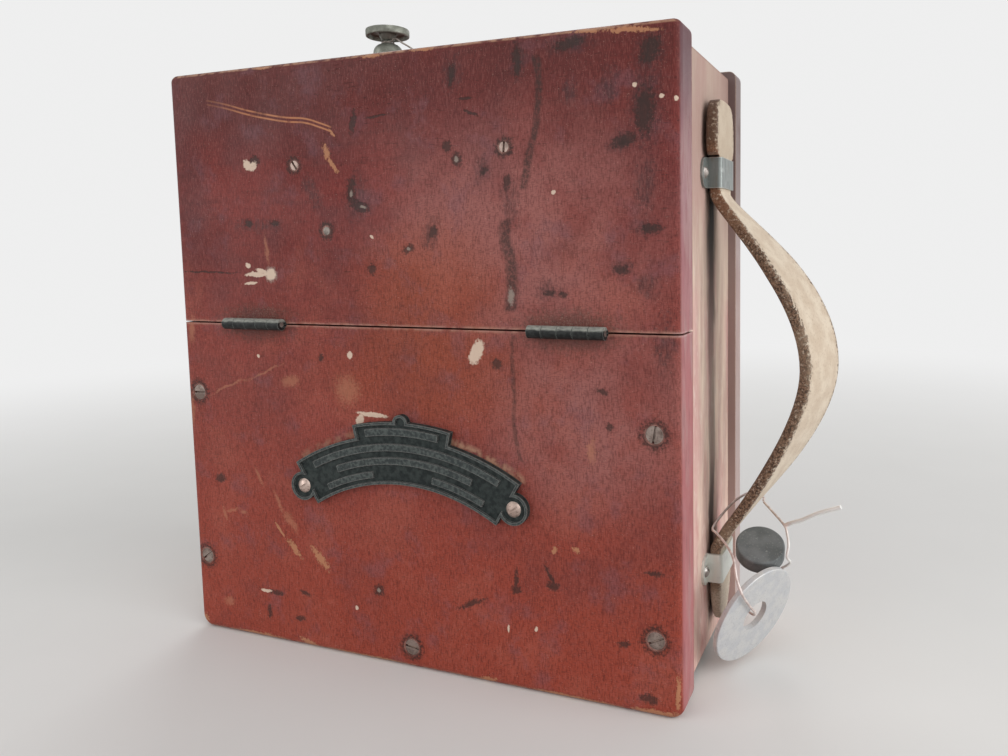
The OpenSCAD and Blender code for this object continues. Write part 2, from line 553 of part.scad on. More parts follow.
module window_glass() color([0.8, 0.9, 0.9, 0.35])
    to_front(0, scale_y1, pivot_z) linear_extrude(glass_t)
        ring_sector(win_r0 - 2.9, win_r1 + 2.9, win_a + 2.4);
module glazing_points() color([0.7, 0.56, 0.3])
    for (a = [-36, -12, 12, 36]) to_front(0, scale_y1 + 0.6, pivot_z) rotate(a) {
        translate([-4, win_r1 + 0.5]) linear_extrude(0.6) square([8, 6]);
        translate([-4, win_r0 - 6.5]) linear_extrude(0.6) square([8, 6]);
    }

// dial
module dial_plate() color([0.9, 0.87, 0.78]) difference() {
    translate([-ix + 1, dial_y0, rail_z1 + 4]) cube([2 * ix - 2, dial_t, iz1 - rail_z1 - 8]);
    at_dial_screws() cylinder(h = 10, r = 0.95, center = true);
    for (s = [-1, 1]) stop_at(s) cylinder(h = 8, r = 0.46, center = true);
}
module dial_screws() color([0.7, 0.56, 0.3]) at_dial_screws() round_screw(1.9, 1.1, 0.9, 5, 15);
module stop_at(s) translate([0, 0, pivot_z]) rotate([0, s * (rest_angle + 1), 0]) translate([0, dial_y0, 76])
    rotate([90, 0, 0]) children();
module pointer_stops() color([0.7, 0.56, 0.3]) for (s = [-1, 1]) stop_at(s) {
    translate([0, 0, -dial_t]) cylinder(h = dial_t + 5, r = 0.45);
    cylinder(h = 0.5, r = 1.2);
}

// magnet, pole shoes and core
module magnet() color([0.3, 0.1, 0.09]) difference() {
    to_front(0, mag_y1, 0) linear_extrude(mag_t) {
        for (s = [-1, 1]) translate([s > 0 ? mag_x0 : -mag_x1, mag_z0])
            square([mag_x1 - mag_x0, mag_z1 - mag_z0]);
        difference() {
            translate([0, mag_z0]) circle(mag_x1, $fn = 144);
            translate([0, mag_z0]) circle(mag_x0, $fn = 144);
            translate([-60, mag_z0]) square([120, 60]);
        }
    }
    for (p = pillar_at) to_front(p[0], mag_y1 + 1, p[1]) cylinder(h = mag_t + 2, r = 2.55);
    for (z = [-8, 8]) to_right(-60, (mag_y0 + mag_y1) / 2, pivot_z + z) cylinder(h = 120, r = 2.05);
}
module pole_shoes() color([0.4, 0.4, 0.4]) difference() {
    both_sides() translate([4, mag_y0, shoe_z0]) cube([mag_x0 - 4, mag_t, mag_z1 - shoe_z0]);
    to_front(0, mag_y1 + 1, pivot_z) cylinder(h = mag_t + 2, r = bore_r, $fn = 96);
    for (s = [-1, 1], z = [-8, 8])
        to_right(s > 0 ? 20 : -30, (mag_y0 + mag_y1) / 2, pivot_z + z) cylinder(h = 10, r = 2.05);
    for (s = [-1, 1]) to_front(s * bridge_x, mag_y1 + 1, pivot_z) cylinder(h = mag_t + 2, r = 1.05);
}
module pole_screws() color([0.55, 0.55, 0.52]) both_sides() for (z = [-8, 8])
    to_right(mag_x1, (mag_y0 + mag_y1) / 2, pivot_z + z) cheese_screw(3.4, 2, 2, 27.5);
module cheese_screw(head_r, head_h, shank_r, length) difference() {
    union() {
        cylinder(h = head_h, r = head_r);
        translate([0, 0, -length]) cylinder(h = length + 0.1, r = shank_r);
    }
    translate([-head_r - 1, -0.4, head_h - 0.8]) cube([2 * head_r + 2, 0.8, 2]);
}
module core() color([0.45, 0.45, 0.45])
    to_front(0, mag_y1, pivot_z) cylinder(h = mag_t, r = core_r, $fn = 96);
module core_stays() color([0.7, 0.56, 0.3]) difference() {
    for (z = [shoe_z0, mag_z1 - 5.6]) translate([-4, mag_y0 + 3, z]) cube([8, mag_t - 6, 5.6]);
    to_front(0, mag_y1 + 1, pivot_z) cylinder(h = mag_t + 2, r = core_r, $fn = 96);
}

// moving coil, drawn upright and then turned to zero
module at_zero() translate([0, 0, pivot_z]) rotate([0, -rest_angle, 0]) children();
module coil_frame(inner, thick, width) translate([-inner - thick, 0, -width / 2]) difference() {
    translate([0, coil_y0 - thick - (inner - coil_in), 0])
        cube([2 * (inner + thick), coil_y1 - coil_y0 + 2 * (thick + inner - coil_in), width]);
    translate([thick, coil_y0 - (inner - coil_in), -1])
        cube([2 * inner, coil_y1 - coil_y0 + 2 * (inner - coil_in), width + 2]);
}
module coil_former() color([0.75, 0.76, 0.78]) at_zero() coil_frame(coil_in, former_t, 6);
module coil_winding() color([0.62, 0.28, 0.14]) at_zero() coil_frame(coil_in + former_t, wind_t, 4.8);
module coil_staffs() color([0.6, 0.6, 0.58]) at_zero() {
    to_front(0, wind_y0, 0) {
        cylinder(h = 0.8, r = 2);
        cylinder(h = wind_y0 - jewel_y0 + 0.6, r = staff_r);
        translate([0, 0, wind_y0 - jewel_y0 - 2.2]) cylinder(h = 1.4, r = 1.1);
    }
    to_back(0, wind_y1, 0) {
        cylinder(h = 0.8, r = 2);
        cylinder(h = jewel_y1 - wind_y1 + 0.6, r = staff_r);
        translate([0, 0, jewel_y1 - wind_y1 - 2.2]) cylinder(h = 1.4, r = 1.1);
    }
}
pointer_y = wind_y0 - 3;              // front of the pointer's blade
module pointer() color([0.12, 0.12, 0.12]) at_zero() difference() {
    union() {
        to_front(0, pointer_y + 0.7, 0) linear_extrude(0.7) {
            polygon([[-0.9, 0], [0.9, 0], [0.35, pointer_len - 14], [1.1, pointer_len - 12],
                [0.15, pointer_len], [-0.15, pointer_len],
                [-1.1, pointer_len - 12], [-0.35, pointer_len - 14]]);
            circle(2.4);
        }
        translate([0, pointer_y + 0.35, 0]) {
            rotate([0, 180, 0]) cylinder(h = 17, r = 0.35);
            translate([-10, 0, 0]) rotate([0, 90, 0]) cylinder(h = 20, r = 0.35);
        }
    }
    to_front(0, pointer_y + 2, 0) cylinder(h = 5, r = staff_r + 0.01);
}
module balance_nuts() color([0.7, 0.56, 0.3]) at_zero() translate([0, pointer_y + 0.35, 0]) {
    balance_nut([0, 180, 0], 12, 1.9);
    balance_nut([0, 90, 0], 6.8, 1.3);
    balance_nut([0, -90, 0], 6.8, 1.3);
}
module balance_nut(turn, at, r) rotate(turn) translate([0, 0, at]) difference() {
    cylinder(h = 2.6, r = r);
    translate([0, 0, -1]) cylinder(h = 5, r = 0.36);
}

// bridges, jewel screws and hairsprings
module bridges() color([0.72, 0.58, 0.32]) {
    bridge(mag_y0, bridge_y0, -1);
    bridge(mag_y1, bridge_y1, 1);
}
module bridge(y0, y1, s) difference() {
    union() {
        for (x = [-bridge_x, bridge_x]) translate([x, y0, pivot_z]) rotate([-90 * s, 0, 0])
            cylinder(h = abs(y1 - y0), r = 2.6);
        translate([-bridge_x - 4, min(y1, y1 + 2 * s), pivot_z - 4]) cube([2 * bridge_x + 8, 2, 8]);
        translate([7.1, min(y1, y1 - 3.6 * s), pivot_z - 0.6]) cube([1.2, 3.6, 1.2]);
    }
    translate([0, y1 - 3 * s, pivot_z]) rotate([-90 * s, 0, 0]) cylinder(h = 8, r = 1.82);
}
module jewel_screws() color([0.8, 0.72, 0.5]) {
    jewel_screw(jewel_y0, -1);
    jewel_screw(jewel_y1, 1);
}
module jewel_screw(y0, s) translate([0, y0, pivot_z]) rotate([-90 * s, 0, 0]) difference() {
    union() {
        cylinder(h = 6, r = 1.8);
        translate([0, 0, 5]) cylinder(h = 1.2, r = 2.8);
    }
    translate([0, 0, -1]) cylinder(h = 1.75, r = staff_r + 0.05);
    translate([-4, -0.3, 5.6]) cube([8, 0.6, 2]);
}
spring_turns = 5;
function spiral(t, w) = let (r = 1.35 + 1.12 * t + w) [r * cos(360 * t), r * sin(360 * t)];
module hairspring() linear_extrude(0.6) polygon([
    for (i = [0 : 24 * spring_turns]) spiral(i / 24, -0.15),
    for (i = [24 * spring_turns : -1 : 0]) spiral(i / 24, 0.15)]);
module hairsprings() color([0.72, 0.5, 0.3]) {
    to_front(0, bridge_y0 + 3.2, pivot_z) hairspring();
    to_back(0, bridge_y1 - 3.2, pivot_z) hairspring();
}

// what holds the movement to the back board
module movement_pillars() color([0.7, 0.56, 0.3])
    for (p = pillar_at) to_back(p[0], mag_y1, p[1]) difference() {
        union() {
            cylinder(h = yr - mag_y1, r = 5);
            cylinder(h = yr - mag_y1 + 7.5, r = 2);
        }
        translate([0, 0, -1]) cylinder(h = 13, r = 2.52);
    }
module movement_screws() color([0.55, 0.55, 0.52])
    for (p = pillar_at) to_front(p[0], mag_y0, p[1]) cheese_screw(4.2, 2.4, 2.5, mag_t + 10);

// leads from the shunt to the two bridges
module coil_leads() color([0.55, 0.16, 0.12]) {
    wire(smooth([[-terminal_x + 3, 9.9, iz1 - 7], [-terminal_x + 3, 17, iz1 - 18], [-32, 20, 140],
        [-24, 18, 108], [-18, mag_y1 + 12.9, pivot_z + 2]], 4), 0.9);
    wire(smooth([[terminal_x - 3, 9.9, iz1 - 7], [terminal_x + 2, 17, iz1 - 18], [54, 14, 132], [57, -6, 112],
        [52, mag_y0 - 5, 98], [36, bridge_y0 + 1, 94], [bridge_x + 4.9, bridge_y0 - 1, pivot_z]], 4), 0.9);
}

// loose parts tied to the lower end of the strap
module loose_washer() color([0.6, 0.62, 0.64])
    translate(washer_c) rotate(washer_turn) translate([0, 0, -washer_t]) difference() {
        rotate_extrude($fn = 96) rounded_rect(washer_r, washer_t, 0.4, 0, 1, 1, 0);
        translate([0, 0, -1]) cylinder(h = washer_t + 2, r = washer_hole_r, $fn = 96);
    }
module rubber_disc() color([0.12, 0.13, 0.13])
    translate(disc_c) rotate(disc_turn) translate([0, 0, -disc_t])
        rotate_extrude($fn = 96) rounded_rect(disc_r, disc_t, 0.7, 0, 1, 1, 0);
module tie_wire() color([0.75, 0.68, 0.64]) translate([wx, 0, 0]) {
    wire(smooth(tie_loop, 2), wire_r);
    wire(smooth(tie_tail, 3), 0.75);
}

back_board();
front_panel();
left_wall();
right_wall();
top_wall();
bottom_wall();
lid();
lid_batten();
lid_screws();
lid_brad();
hinge_panel_leaves();
hinge_lid_leaves();
hinge_pins();
hinge_panel_screws();
hinge_lid_screws();
panel_screws();
back_screws();
nameplate();
nameplate_screws();
handle_strap();
handle_clips();
clip_screws();
terminal_bushings();
terminal_post();
thumb_nut();
terminal_wire();
bare_stud();
terminal_nuts();
shunt_blocks();
shunt_strips();
cross_rail();
side_cleats();
scale_panel();
scale_panel_screws();
bezel();
window_glass();
glazing_points();
dial_plate();
dial_screws();
pointer_stops();
magnet();
pole_shoes();
pole_screws();
core();
core_stays();
coil_former();
coil_winding();
coil_staffs();
pointer();
balance_nuts();
bridges();
jewel_screws();
hairsprings();
movement_pillars();
movement_screws();
coil_leads();
loose_washer();
rubber_disc();
tie_wire();
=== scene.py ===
# %% [markdown]
# A portable ammeter in its wooden case
#
# The instrument is a mahogany case that stands on its bottom edge. The lid over the dial is the
# upper half of the front; the movement hangs behind it. The frame from the other tools already
# holds every rigid part in its true place, so this lesson gives each one its finish, and makes
# again the few pieces that are soft, bent or too plain: the leather strap, the wires, the thumb
# nut and the printed scale of the dial.

# %% Load the frame
import math
import bmesh
import bpy
from mathutils import Matrix, Vector


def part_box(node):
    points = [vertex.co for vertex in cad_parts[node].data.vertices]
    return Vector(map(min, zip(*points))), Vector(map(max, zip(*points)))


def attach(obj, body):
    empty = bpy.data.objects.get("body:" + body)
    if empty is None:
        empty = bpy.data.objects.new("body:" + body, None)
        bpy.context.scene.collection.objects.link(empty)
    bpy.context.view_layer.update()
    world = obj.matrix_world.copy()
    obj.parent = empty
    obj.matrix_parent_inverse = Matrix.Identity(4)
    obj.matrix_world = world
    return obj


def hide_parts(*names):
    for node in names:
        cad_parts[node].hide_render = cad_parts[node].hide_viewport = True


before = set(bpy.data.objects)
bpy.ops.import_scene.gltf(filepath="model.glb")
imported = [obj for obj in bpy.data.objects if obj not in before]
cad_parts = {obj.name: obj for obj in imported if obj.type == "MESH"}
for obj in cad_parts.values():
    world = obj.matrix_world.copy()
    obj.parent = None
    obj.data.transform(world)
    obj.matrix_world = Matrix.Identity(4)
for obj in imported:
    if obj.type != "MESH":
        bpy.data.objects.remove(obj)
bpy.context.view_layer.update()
MM = 0.001
print("nodes in the frame:", len(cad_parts))

# %% [markdown]
# Camera
#
# The photograph was taken from a little right of the middle and slightly above, close to the case,
# so its edges draw together. A camera can be placed by eye, or solved from corners whose true
# places are known. It was solved here, and the numbers below are the result.

# %% Camera
CAMERA_PLACE = (0.16021, -0.28120, 0.15096)
CAMERA_TURN = (0.36501, math.pi / 2 - 0.09273, -0.01509)
SENSOR_WIDE, LENS = 36, 28.69
SHIFT = (-0.0889, -0.0605)
NEAREST = 0.01


def make_camera():
    data = bpy.data.cameras.new("camera")
    camera = bpy.data.objects.new("camera", data)
    bpy.context.collection.objects.link(camera)
    yaw, tilt, roll = CAMERA_TURN
    turn = Matrix.Rotation(yaw, 4, "Z") @ Matrix.Rotation(tilt, 4, "X")
    turn = turn @ Matrix.Rotation(roll, 4, "Z")
    camera.matrix_world = Matrix.Translation(CAMERA_PLACE) @ turn
    data.sensor_width, data.lens, data.clip_start = SENSOR_WIDE, LENS, NEAREST
    data.shift_x, data.shift_y = SHIFT
    bpy.context.scene.camera = camera
    return camera


print("camera lens, mm:", round(make_camera().data.lens, 2))

# %% [markdown]
# Light
#
# Soft light shows the wood as it is. One large lamp stands to the right and above, a weaker one
# fills from the left, and a third helps from behind. The right wall is the brightest side in the
# photograph, so a fourth and small lamp stands straight beside it, and throws the shadow of the
# strap onto it. The world adds the rest evenly. The camera sees the world nearly white, and so do
# the rays that metal mirrors and that glass lets through.

# %% Lamps and world
SEEN_BY = ("Is Camera Ray", "Is Glossy Ray", "Is Transmission Ray")
LAMPS = {
    "key": ((1.2, -0.5, 0.9), 1.5, 12.5),
    "fill": ((-0.9, -1.05, 0.55), 1.0, 5.5),
    "side": ((1.2, 0.12, 0.22), 0.5, 3.4),
    "back": ((-0.5, 1.1, 0.9), 0.9, 5.0),
}
AIM = Vector((0, 0, 0.11))
WORLD_LEVEL, SEEN_WHITE = 0.42, 0.86


def make_lamp(name, place, size, watts):
    data = bpy.data.lights.new(name, "AREA")
    data.shape, data.size, data.energy = "SQUARE", size, watts
    lamp = bpy.data.objects.new(name, data)
    lamp.location = place
    lamp.rotation_euler = (AIM - Vector(place)).to_track_quat("-Z", "Y").to_euler()
    bpy.context.collection.objects.link(lamp)


def make_world():
    world = bpy.data.worlds.new("studio")
    world.use_nodes = True
    nodes, links = world.node_tree.nodes, world.node_tree.links
    shade = nodes["Background"]
    shade.inputs["Color"].default_value = (1, 1, 1, 1)
    rays = nodes.new("ShaderNodeLightPath")
    seen = rays.outputs[SEEN_BY[0]]
    for ray in SEEN_BY[1:]:
        either = nodes.new("ShaderNodeMath")
        either.operation = "MAXIMUM"
        links.new(seen, either.inputs[0])
        links.new(rays.outputs[ray], either.inputs[1])
        seen = either.outputs[0]
    level = nodes.new("ShaderNodeMapRange")
    level.inputs["To Min"].default_value = WORLD_LEVEL
    level.inputs["To Max"].default_value = SEEN_WHITE
    links.new(seen, level.inputs["Value"])
    links.new(level.outputs[0], shade.inputs["Strength"])
    bpy.context.scene.world = world


for name, (place, size, watts) in LAMPS.items():
    make_lamp(name, place, size, watts)
make_world()
bpy.context.scene.view_settings.view_transform = "Standard"
print("lamps:", ", ".join(LAMPS))

# %% [markdown]
# A finish built from nodes
#
# A finish could be one colour, but wood, leather and old metal are never that. The helper below
# keeps one material while it is being built. Its patterns read Object coordinates, turned from
# metres to millimetres, so that a number in a finish is a size on the real piece: a pore of
# 0.3 mm, a scratch 12 mm long. Each method adds one node and gives back its output.

# %% Helper for finishes
EVEN = (1, 1, 1)
FRONT_Y = -48
MARK_LONG, MARK_DEEP, MARK_WIDE = 0.72, 12, 0.84


class Finish:
    """One material under construction, with its patterns in millimetres."""

    def __init__(self, name, **shader):
        self.material = bpy.data.materials.new(name)
        self.material.use_nodes = True
        self.nodes = self.material.node_tree.nodes
        self.links = self.material.node_tree.links
        self.shader = self.nodes["Principled BSDF"]
        self.colour = None
        for socket, value in shader.items():
            self.shader.inputs[socket.replace("_", " ")].default_value = value
        where = self.nodes.new("ShaderNodeTexCoord").outputs["Object"]
        self.place = self.add("VectorMath", {0: where, "Scale": 1 / MM}, operation="SCALE")
        self.x, self.y, self.z = (self.add("SeparateXYZ", {0: self.place}, out=i) for i in range(3))
        self.sideways = self.math("ABSOLUTE", self.x)

    def add(self, kind, inputs, out=0, **settings):
        node = self.nodes.new("ShaderNode" + kind)
        for key, value in settings.items():
            setattr(node, key, value)
        for key, value in inputs.items():
            if isinstance(value, bpy.types.NodeSocket):
                self.links.new(value, node.inputs[key])
            else:
                node.inputs[key].default_value = value
        return node.outputs[out]

    def done(self, **sockets):
        """Connect the colour and whatever else is given, and hand over the material."""
        for socket, value in {"Base_Color": self.colour, **sockets}.items():
            self.links.new(value, self.shader.inputs[socket.replace("_", " ")])
        return self.material

    def noise(self, scale, detail=3, along=EVEN, seed=0, rough=0.5, out=0):
        at = self.add("Mapping", {0: self.place, "Location": (seed * 17.3, seed * 5.1, seed * 11.7),
                                  "Scale": along})
        return self.add("TexNoise", {"Vector": at, "Scale": scale, "Detail": detail,
                                     "Roughness": rough}, out=out)

    def limits(self, value, low, high, to_low=0.0, to_high=1.0, soft="SMOOTHSTEP"):
        return self.add("MapRange", {"Value": value, "From Min": low, "From Max": high,
                                     "To Min": to_low, "To Max": to_high}, interpolation_type=soft)

    def scaled(self, *numbers):
        return self.limits(*numbers, soft="LINEAR")

    def patches(self, scale, detail, seed, low, high, to_low=0.0, to_high=1.0, along=EVEN,
                rough=0.5):
        """A mask of soft patches: noise, cut between two limits."""
        noise = self.noise(scale, detail, along, seed, rough)
        return self.limits(noise, low, high, to_low, to_high)

    def math(self, operation, first, *others):
        result = first
        for other in others or (0.0,):
            result = self.add("Math", {0: result, 1: other}, operation=operation)
        return result

    def times(self, *values):
        return self.math("MULTIPLY", *values)

    def most(self, *values):
        return self.math("MAXIMUM", *values)

    def flip(self, value):
        return self.math("SUBTRACT", 1, value)

    def off(self, value, middle):
        """How far a value is from a middle."""
        return self.math("ABSOLUTE", self.math("SUBTRACT", value, middle))

    def tint(self, amount, a, b):
        pair = {key: value if isinstance(value, bpy.types.NodeSocket) else (*value, 1)
                for key, value in ((6, a), (7, b))}
        return self.add("Mix", {0: amount, **pair}, out=2, data_type="RGBA")

    def coat(self, mask, over):
        """Lay a colour over what is there, where the mask is high."""
        self.colour = self.tint(mask, self.colour, over)

    def bump(self, height, strength=0.5, distance=0.0003, under=None):
        wires = {"Height": height, "Strength": strength, "Distance": distance}
        if under is not None:
            wires["Normal"] = under
        return self.add("Bump", wires)

    def edges(self, radius, low=0.995, high=0.9):
        """White on the sharp edges of a piece, where it wears first."""
        round_way = self.add("Bevel", {"Radius": radius * MM}, samples=6)
        flat_way = self.add("NewGeometry", {}, out=1)
        same = self.add("VectorMath", {0: round_way, 1: flat_way}, out=1, operation="DOT_PRODUCT")
        return self.limits(same, low, high)

    def between(self, value, start, full, end, gone):
        """Rises from start to full, and falls again from end to gone."""
        return self.times(self.limits(value, start, full), self.limits(value, gone, end))

    def wander(self, amount, scale=0.25, seed=0):
        """The place, shaken a little, so that an edge drawn from it isn't ruled."""
        shake = self.noise(scale, 4, seed=seed, out=1)
        shake = self.add("VectorMath", {0: shake, 1: (0.5, 0.5, 0.5)}, operation="SUBTRACT")
        shake = self.add("VectorMath", {0: shake, "Scale": amount}, operation="SCALE")
        return self.add("VectorMath", {0: self.place, 1: shake}, operation="ADD")

    def cloud(self, at, x, z, size, angle=0):
        """A cloud on the front with its middle at x, z, stretched to a size and turned."""
        local = self.add("Mapping", {0: at, "Location": (x, FRONT_Y, z), "Scale": size,
                                     "Rotation": (0, -math.radians(angle), 0)},
                         vector_type="TEXTURE")
        return self.add("TexGradient", {0: local}, out=1, gradient_type="SPHERICAL")

    def marks(self, rows, start, full, shake, seed, ragged):
        """One mask for many small marks, each (x, z, length, angle, width)."""
        at = self.wander(shake, seed=seed)
        clouds = []
        for x, z, length, angle, width in rows:
            size = (MARK_LONG * length, MARK_DEEP, MARK_WIDE * width)
            clouds.append(self.cloud(at, x, z, size, angle))
        mask = self.most(*clouds)
        crumbs = self.noise(1.1, 5, seed=seed + 1, rough=0.6)
        crumbs = self.scaled(crumbs, 0.25, 0.75, -ragged, ragged)
        crumbs = self.times(crumbs, self.limits(mask, 0, 0.2))
        return self.limits(self.math("ADD", mask, crumbs), start, full)

    def wear(self, rows, start, full, shake, seed, ragged, strength, over):
        """Lay a colour over marks of one kind, and give back their mask."""
        mask = self.marks(rows, start, full, shake, seed, ragged)
        self.coat(self.times(mask, strength), over)
        return mask

    def trace(self, value, points):
        """A drawn line: it turns one coordinate into the other, through the given points."""
        starts, ends = zip(*points)
        first, last, low, high = starts[0], starts[-1], min(ends), max(ends)
        share = [((a - first) / (last - first), (b - low) / (high - low)) for a, b in points]
        curve = self.add("FloatCurve", {"Value": self.scaled(value, first, last)})
        line = curve.node.mapping.curves[0]
        line.points[0].location, line.points[-1].location = share[0], share[-1]
        for a, b in share[1:-1]:
            line.points.new(a, b)
        curve.node.mapping.update()
        return self.scaled(curve, 0, 1, low, high)

    def line(self, across, along, points, half, soft, beside=0.0):
        """A mask that follows a drawn line; beside makes it two lines, that far from the middle."""
        away = self.off(across, self.trace(along, points))
        if beside:
            away = self.off(away, beside)
        first, last = points[0][0], points[-1][0]
        ends = self.between(along, first - 1, first + 1, last - 1, last + 1)
        return self.times(self.limits(away, half + soft, half), ends)


DRESSED = []


def dress(material, *nodes):
    """Give a finish to carried-over nodes."""
    for node in nodes:
        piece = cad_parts[node]
        for place in piece.material_slots:
            place.material = material
        if not piece.material_slots:
            piece.data.materials.append(material)
        DRESSED.append(node)


# %% [markdown]
# Floor
#
# A plain pale floor lets the case throw its soft shadow. It isn't part of the object. Far from the
# case it takes the colour of the background for the camera, so no horizon shows.

# %% Floor
FLOOR_HALF = 4
FADES_FROM, FADES_TO = 260, 900


def make_floor():
    bm = bmesh.new()
    bmesh.ops.create_grid(bm, x_segments=1, y_segments=1, size=FLOOR_HALF)
    mesh = bpy.data.meshes.new("floor")
    bm.to_mesh(mesh)
    bm.free()
    floor = bpy.data.objects.new("floor", mesh)
    bpy.context.collection.objects.link(floor)
    pale = Finish("floor_paper", Roughness=0.9)
    paper = pale.tint(pale.noise(0.02, 2), (0.74, 0.735, 0.72), (0.77, 0.765, 0.75))
    reach = pale.add("VectorMath", {0: pale.place, 1: (0, 0, 0)}, out=1, operation="DISTANCE")
    seen = pale.most(*(pale.add("LightPath", {}, out=ray) for ray in SEEN_BY))
    far = pale.times(pale.limits(reach, FADES_FROM, FADES_TO), seen)
    glow = pale.add("Emission", {"Color": (1, 1, 1, 1), "Strength": SEEN_WHITE})
    mixed = pale.add("MixShader", {0: far, 1: pale.shader.outputs[0], 2: glow})
    pale.links.new(mixed, pale.nodes["Material Output"].inputs["Surface"])
    mesh.materials.append(pale.done(Base_Color=paper))


make_floor()

# %% [markdown]
# Mahogany
#
# The case is old mahogany with a thin worn varnish: red-brown, darker in the pores, purple where
# it is stained, orange where the varnish has gone, and hazy where dust and wax lie on it. A
# photograph could be laid on it, but then every other case would carry the same scratches.
# Instead the grain is noise drawn out along the board, and each real scratch, stain and dent is
# one small stretched spot at its own place, so it can be moved or left out.

# %% Wood grain
DEEP = (0.098, 0.024, 0.022)
RED = (0.222, 0.040, 0.034)
BROWN_RED = (0.168, 0.033, 0.030)
ORANGE = (0.33, 0.072, 0.030)
PURPLE = (0.112, 0.034, 0.036)
HAZE = (0.30, 0.095, 0.084)
TAN = (0.50, 0.235, 0.125)
PALE = (0.72, 0.56, 0.44)
SOOT = (0.026, 0.017, 0.014)
UPRIGHT = (1, 1, 0.06)
LEVEL = (0.06, 1, 1)


def grain(wood, along, seed):
    """The plain board: broad tone, soft streaks and short dark pores. Gives back the pores."""
    wood.colour = wood.tint(wood.patches(0.022, 4, seed, 0.38, 0.62), BROWN_RED, RED)
    wood.coat(wood.patches(0.06, 5, seed + 2, 0.5, 0.72, 0, 0.6), PURPLE)
    wood.coat(wood.patches(0.5, 6, seed + 1, 0.48, 0.72, 0, 0.42, along, 0.6), DEEP)
    gate = wood.patches(0.035, 3, seed + 6, 0.42, 0.58, 0.15, 0.8)
    dashes = tuple(min(1.0, 2.2 * share) for share in along)
    pores = wood.times(wood.patches(1.5, 3, seed + 3, 0.62, 0.69, along=dashes), gate)
    wood.coat(pores, SOOT)
    return pores


def crinkle(wood, seed):
    """Old varnish draws together into fine upright wrinkles, with dust on their tops."""
    folds = wood.noise(2.7, 1, (1, 1, 0.20), seed)
    wood.coat(wood.limits(folds, 0.52, 0.72, 0, 0.15), (0.42, 0.17, 0.15))
    wood.coat(wood.limits(folds, 0.50, 0.30, 0, 0.38), (0.060, 0.016, 0.014))
    weft = wood.patches(2.6, 1, seed + 2, 0.52, 0.32, 0, 0.30, (0.3, 1, 1))
    wood.coat(weft, (0.070, 0.018, 0.016))
    wood.coat(wood.patches(2.6, 2, seed + 1, 0.68, 0.74, 0, 0.3), (0.60, 0.40, 0.34))
    return folds


def mahogany(name, seed, dust):
    """Plain mahogany, for the boards that carry no marks of their own."""
    wood = Finish(name, Roughness=0.42, Specular_IOR_Level=0.28)
    pores = grain(wood, LEVEL, seed)
    folds = crinkle(wood, seed + 8)
    wood.coat(wood.patches(0.03, 5, seed + 5, 0.42, 0.7, 0, dust), HAZE)
    wood.coat(wood.times(wood.edges(1.0), 0.35), TAN)
    rough = wood.patches(0.2, 4, seed, 0.3, 0.7, 0.36, 0.6)
    relief = wood.bump(wood.flip(pores), 0.35, 0.0002)
    return wood.done(Roughness=rough, Normal=wood.bump(folds, 0.15, 0.0002, relief))


# %% Marks on the front, as (x, z, length, angle, width) in millimetres
TAN_MARKS = [
    (-28.2, 183.8, 6, -72, 2.4), (-25.6, 179.3, 7, -56, 1.8), (-25.3, 190.0, 4, -52, 1.1),
    (-57, 44.2, 8, -57, 1.0), (-50.8, 38.2, 10, -48, 2.2), (-38.8, 35.5, 11, -48, 3.0),
    (56.2, 50.9, 2.6, 60, 1.6), (63.8, 51.7, 2.8, -40, 1.6), (-98, 3, 6, 60, 4),
    (84, 213.7, 18, -5, 1.7), (70, 214.8, 12, -4, 1.2), (-8, 214.8, 9, -1, 1.3),
    (12, 215.0, 10, 0, 1.2), (-55, 215.0, 8, 0, 1.0), (97.6, 9, 12, 88, 1.4),
    (90, 1.6, 16, 2, 2.0), (60, 1.0, 30, 0, 1.4), (-70, 1.2, 24, 0, 1.8), (-46, 1.6, 9, -20, 2.4),
    (-20, 0.8, 40, 0, 1.2), (30, 1.4, 8, 10, 1.8),
]
SOFT_MARKS = [
    (-23.6, 99.7, 12, 80, 10), (-49, 101.8, 9, 5, 4), (-57, 55, 10, -57, 1.8),
    (-52, 48.5, 10, -55, 3.6), (-84, 48, 6, -70, 1.6), (-80, 49.5, 8, 20, 1.2),
    (-74.5, 49.5, 4, 0, 2), (-66, 64.5, 8, -60, 1.6), (-78, 98.4, 22, 21, 1.0),
    (-60, 105, 20, 22, 0.8), (-56.7, 150, 11, -85, 1.6), (-95, 120, 12, 80, 3),
    (-97.5, 88, 14, 88, 2.4), (69.7, 84.6, 8, 85, 3), (-84.1, 12.8, 5, 0, 4),
]
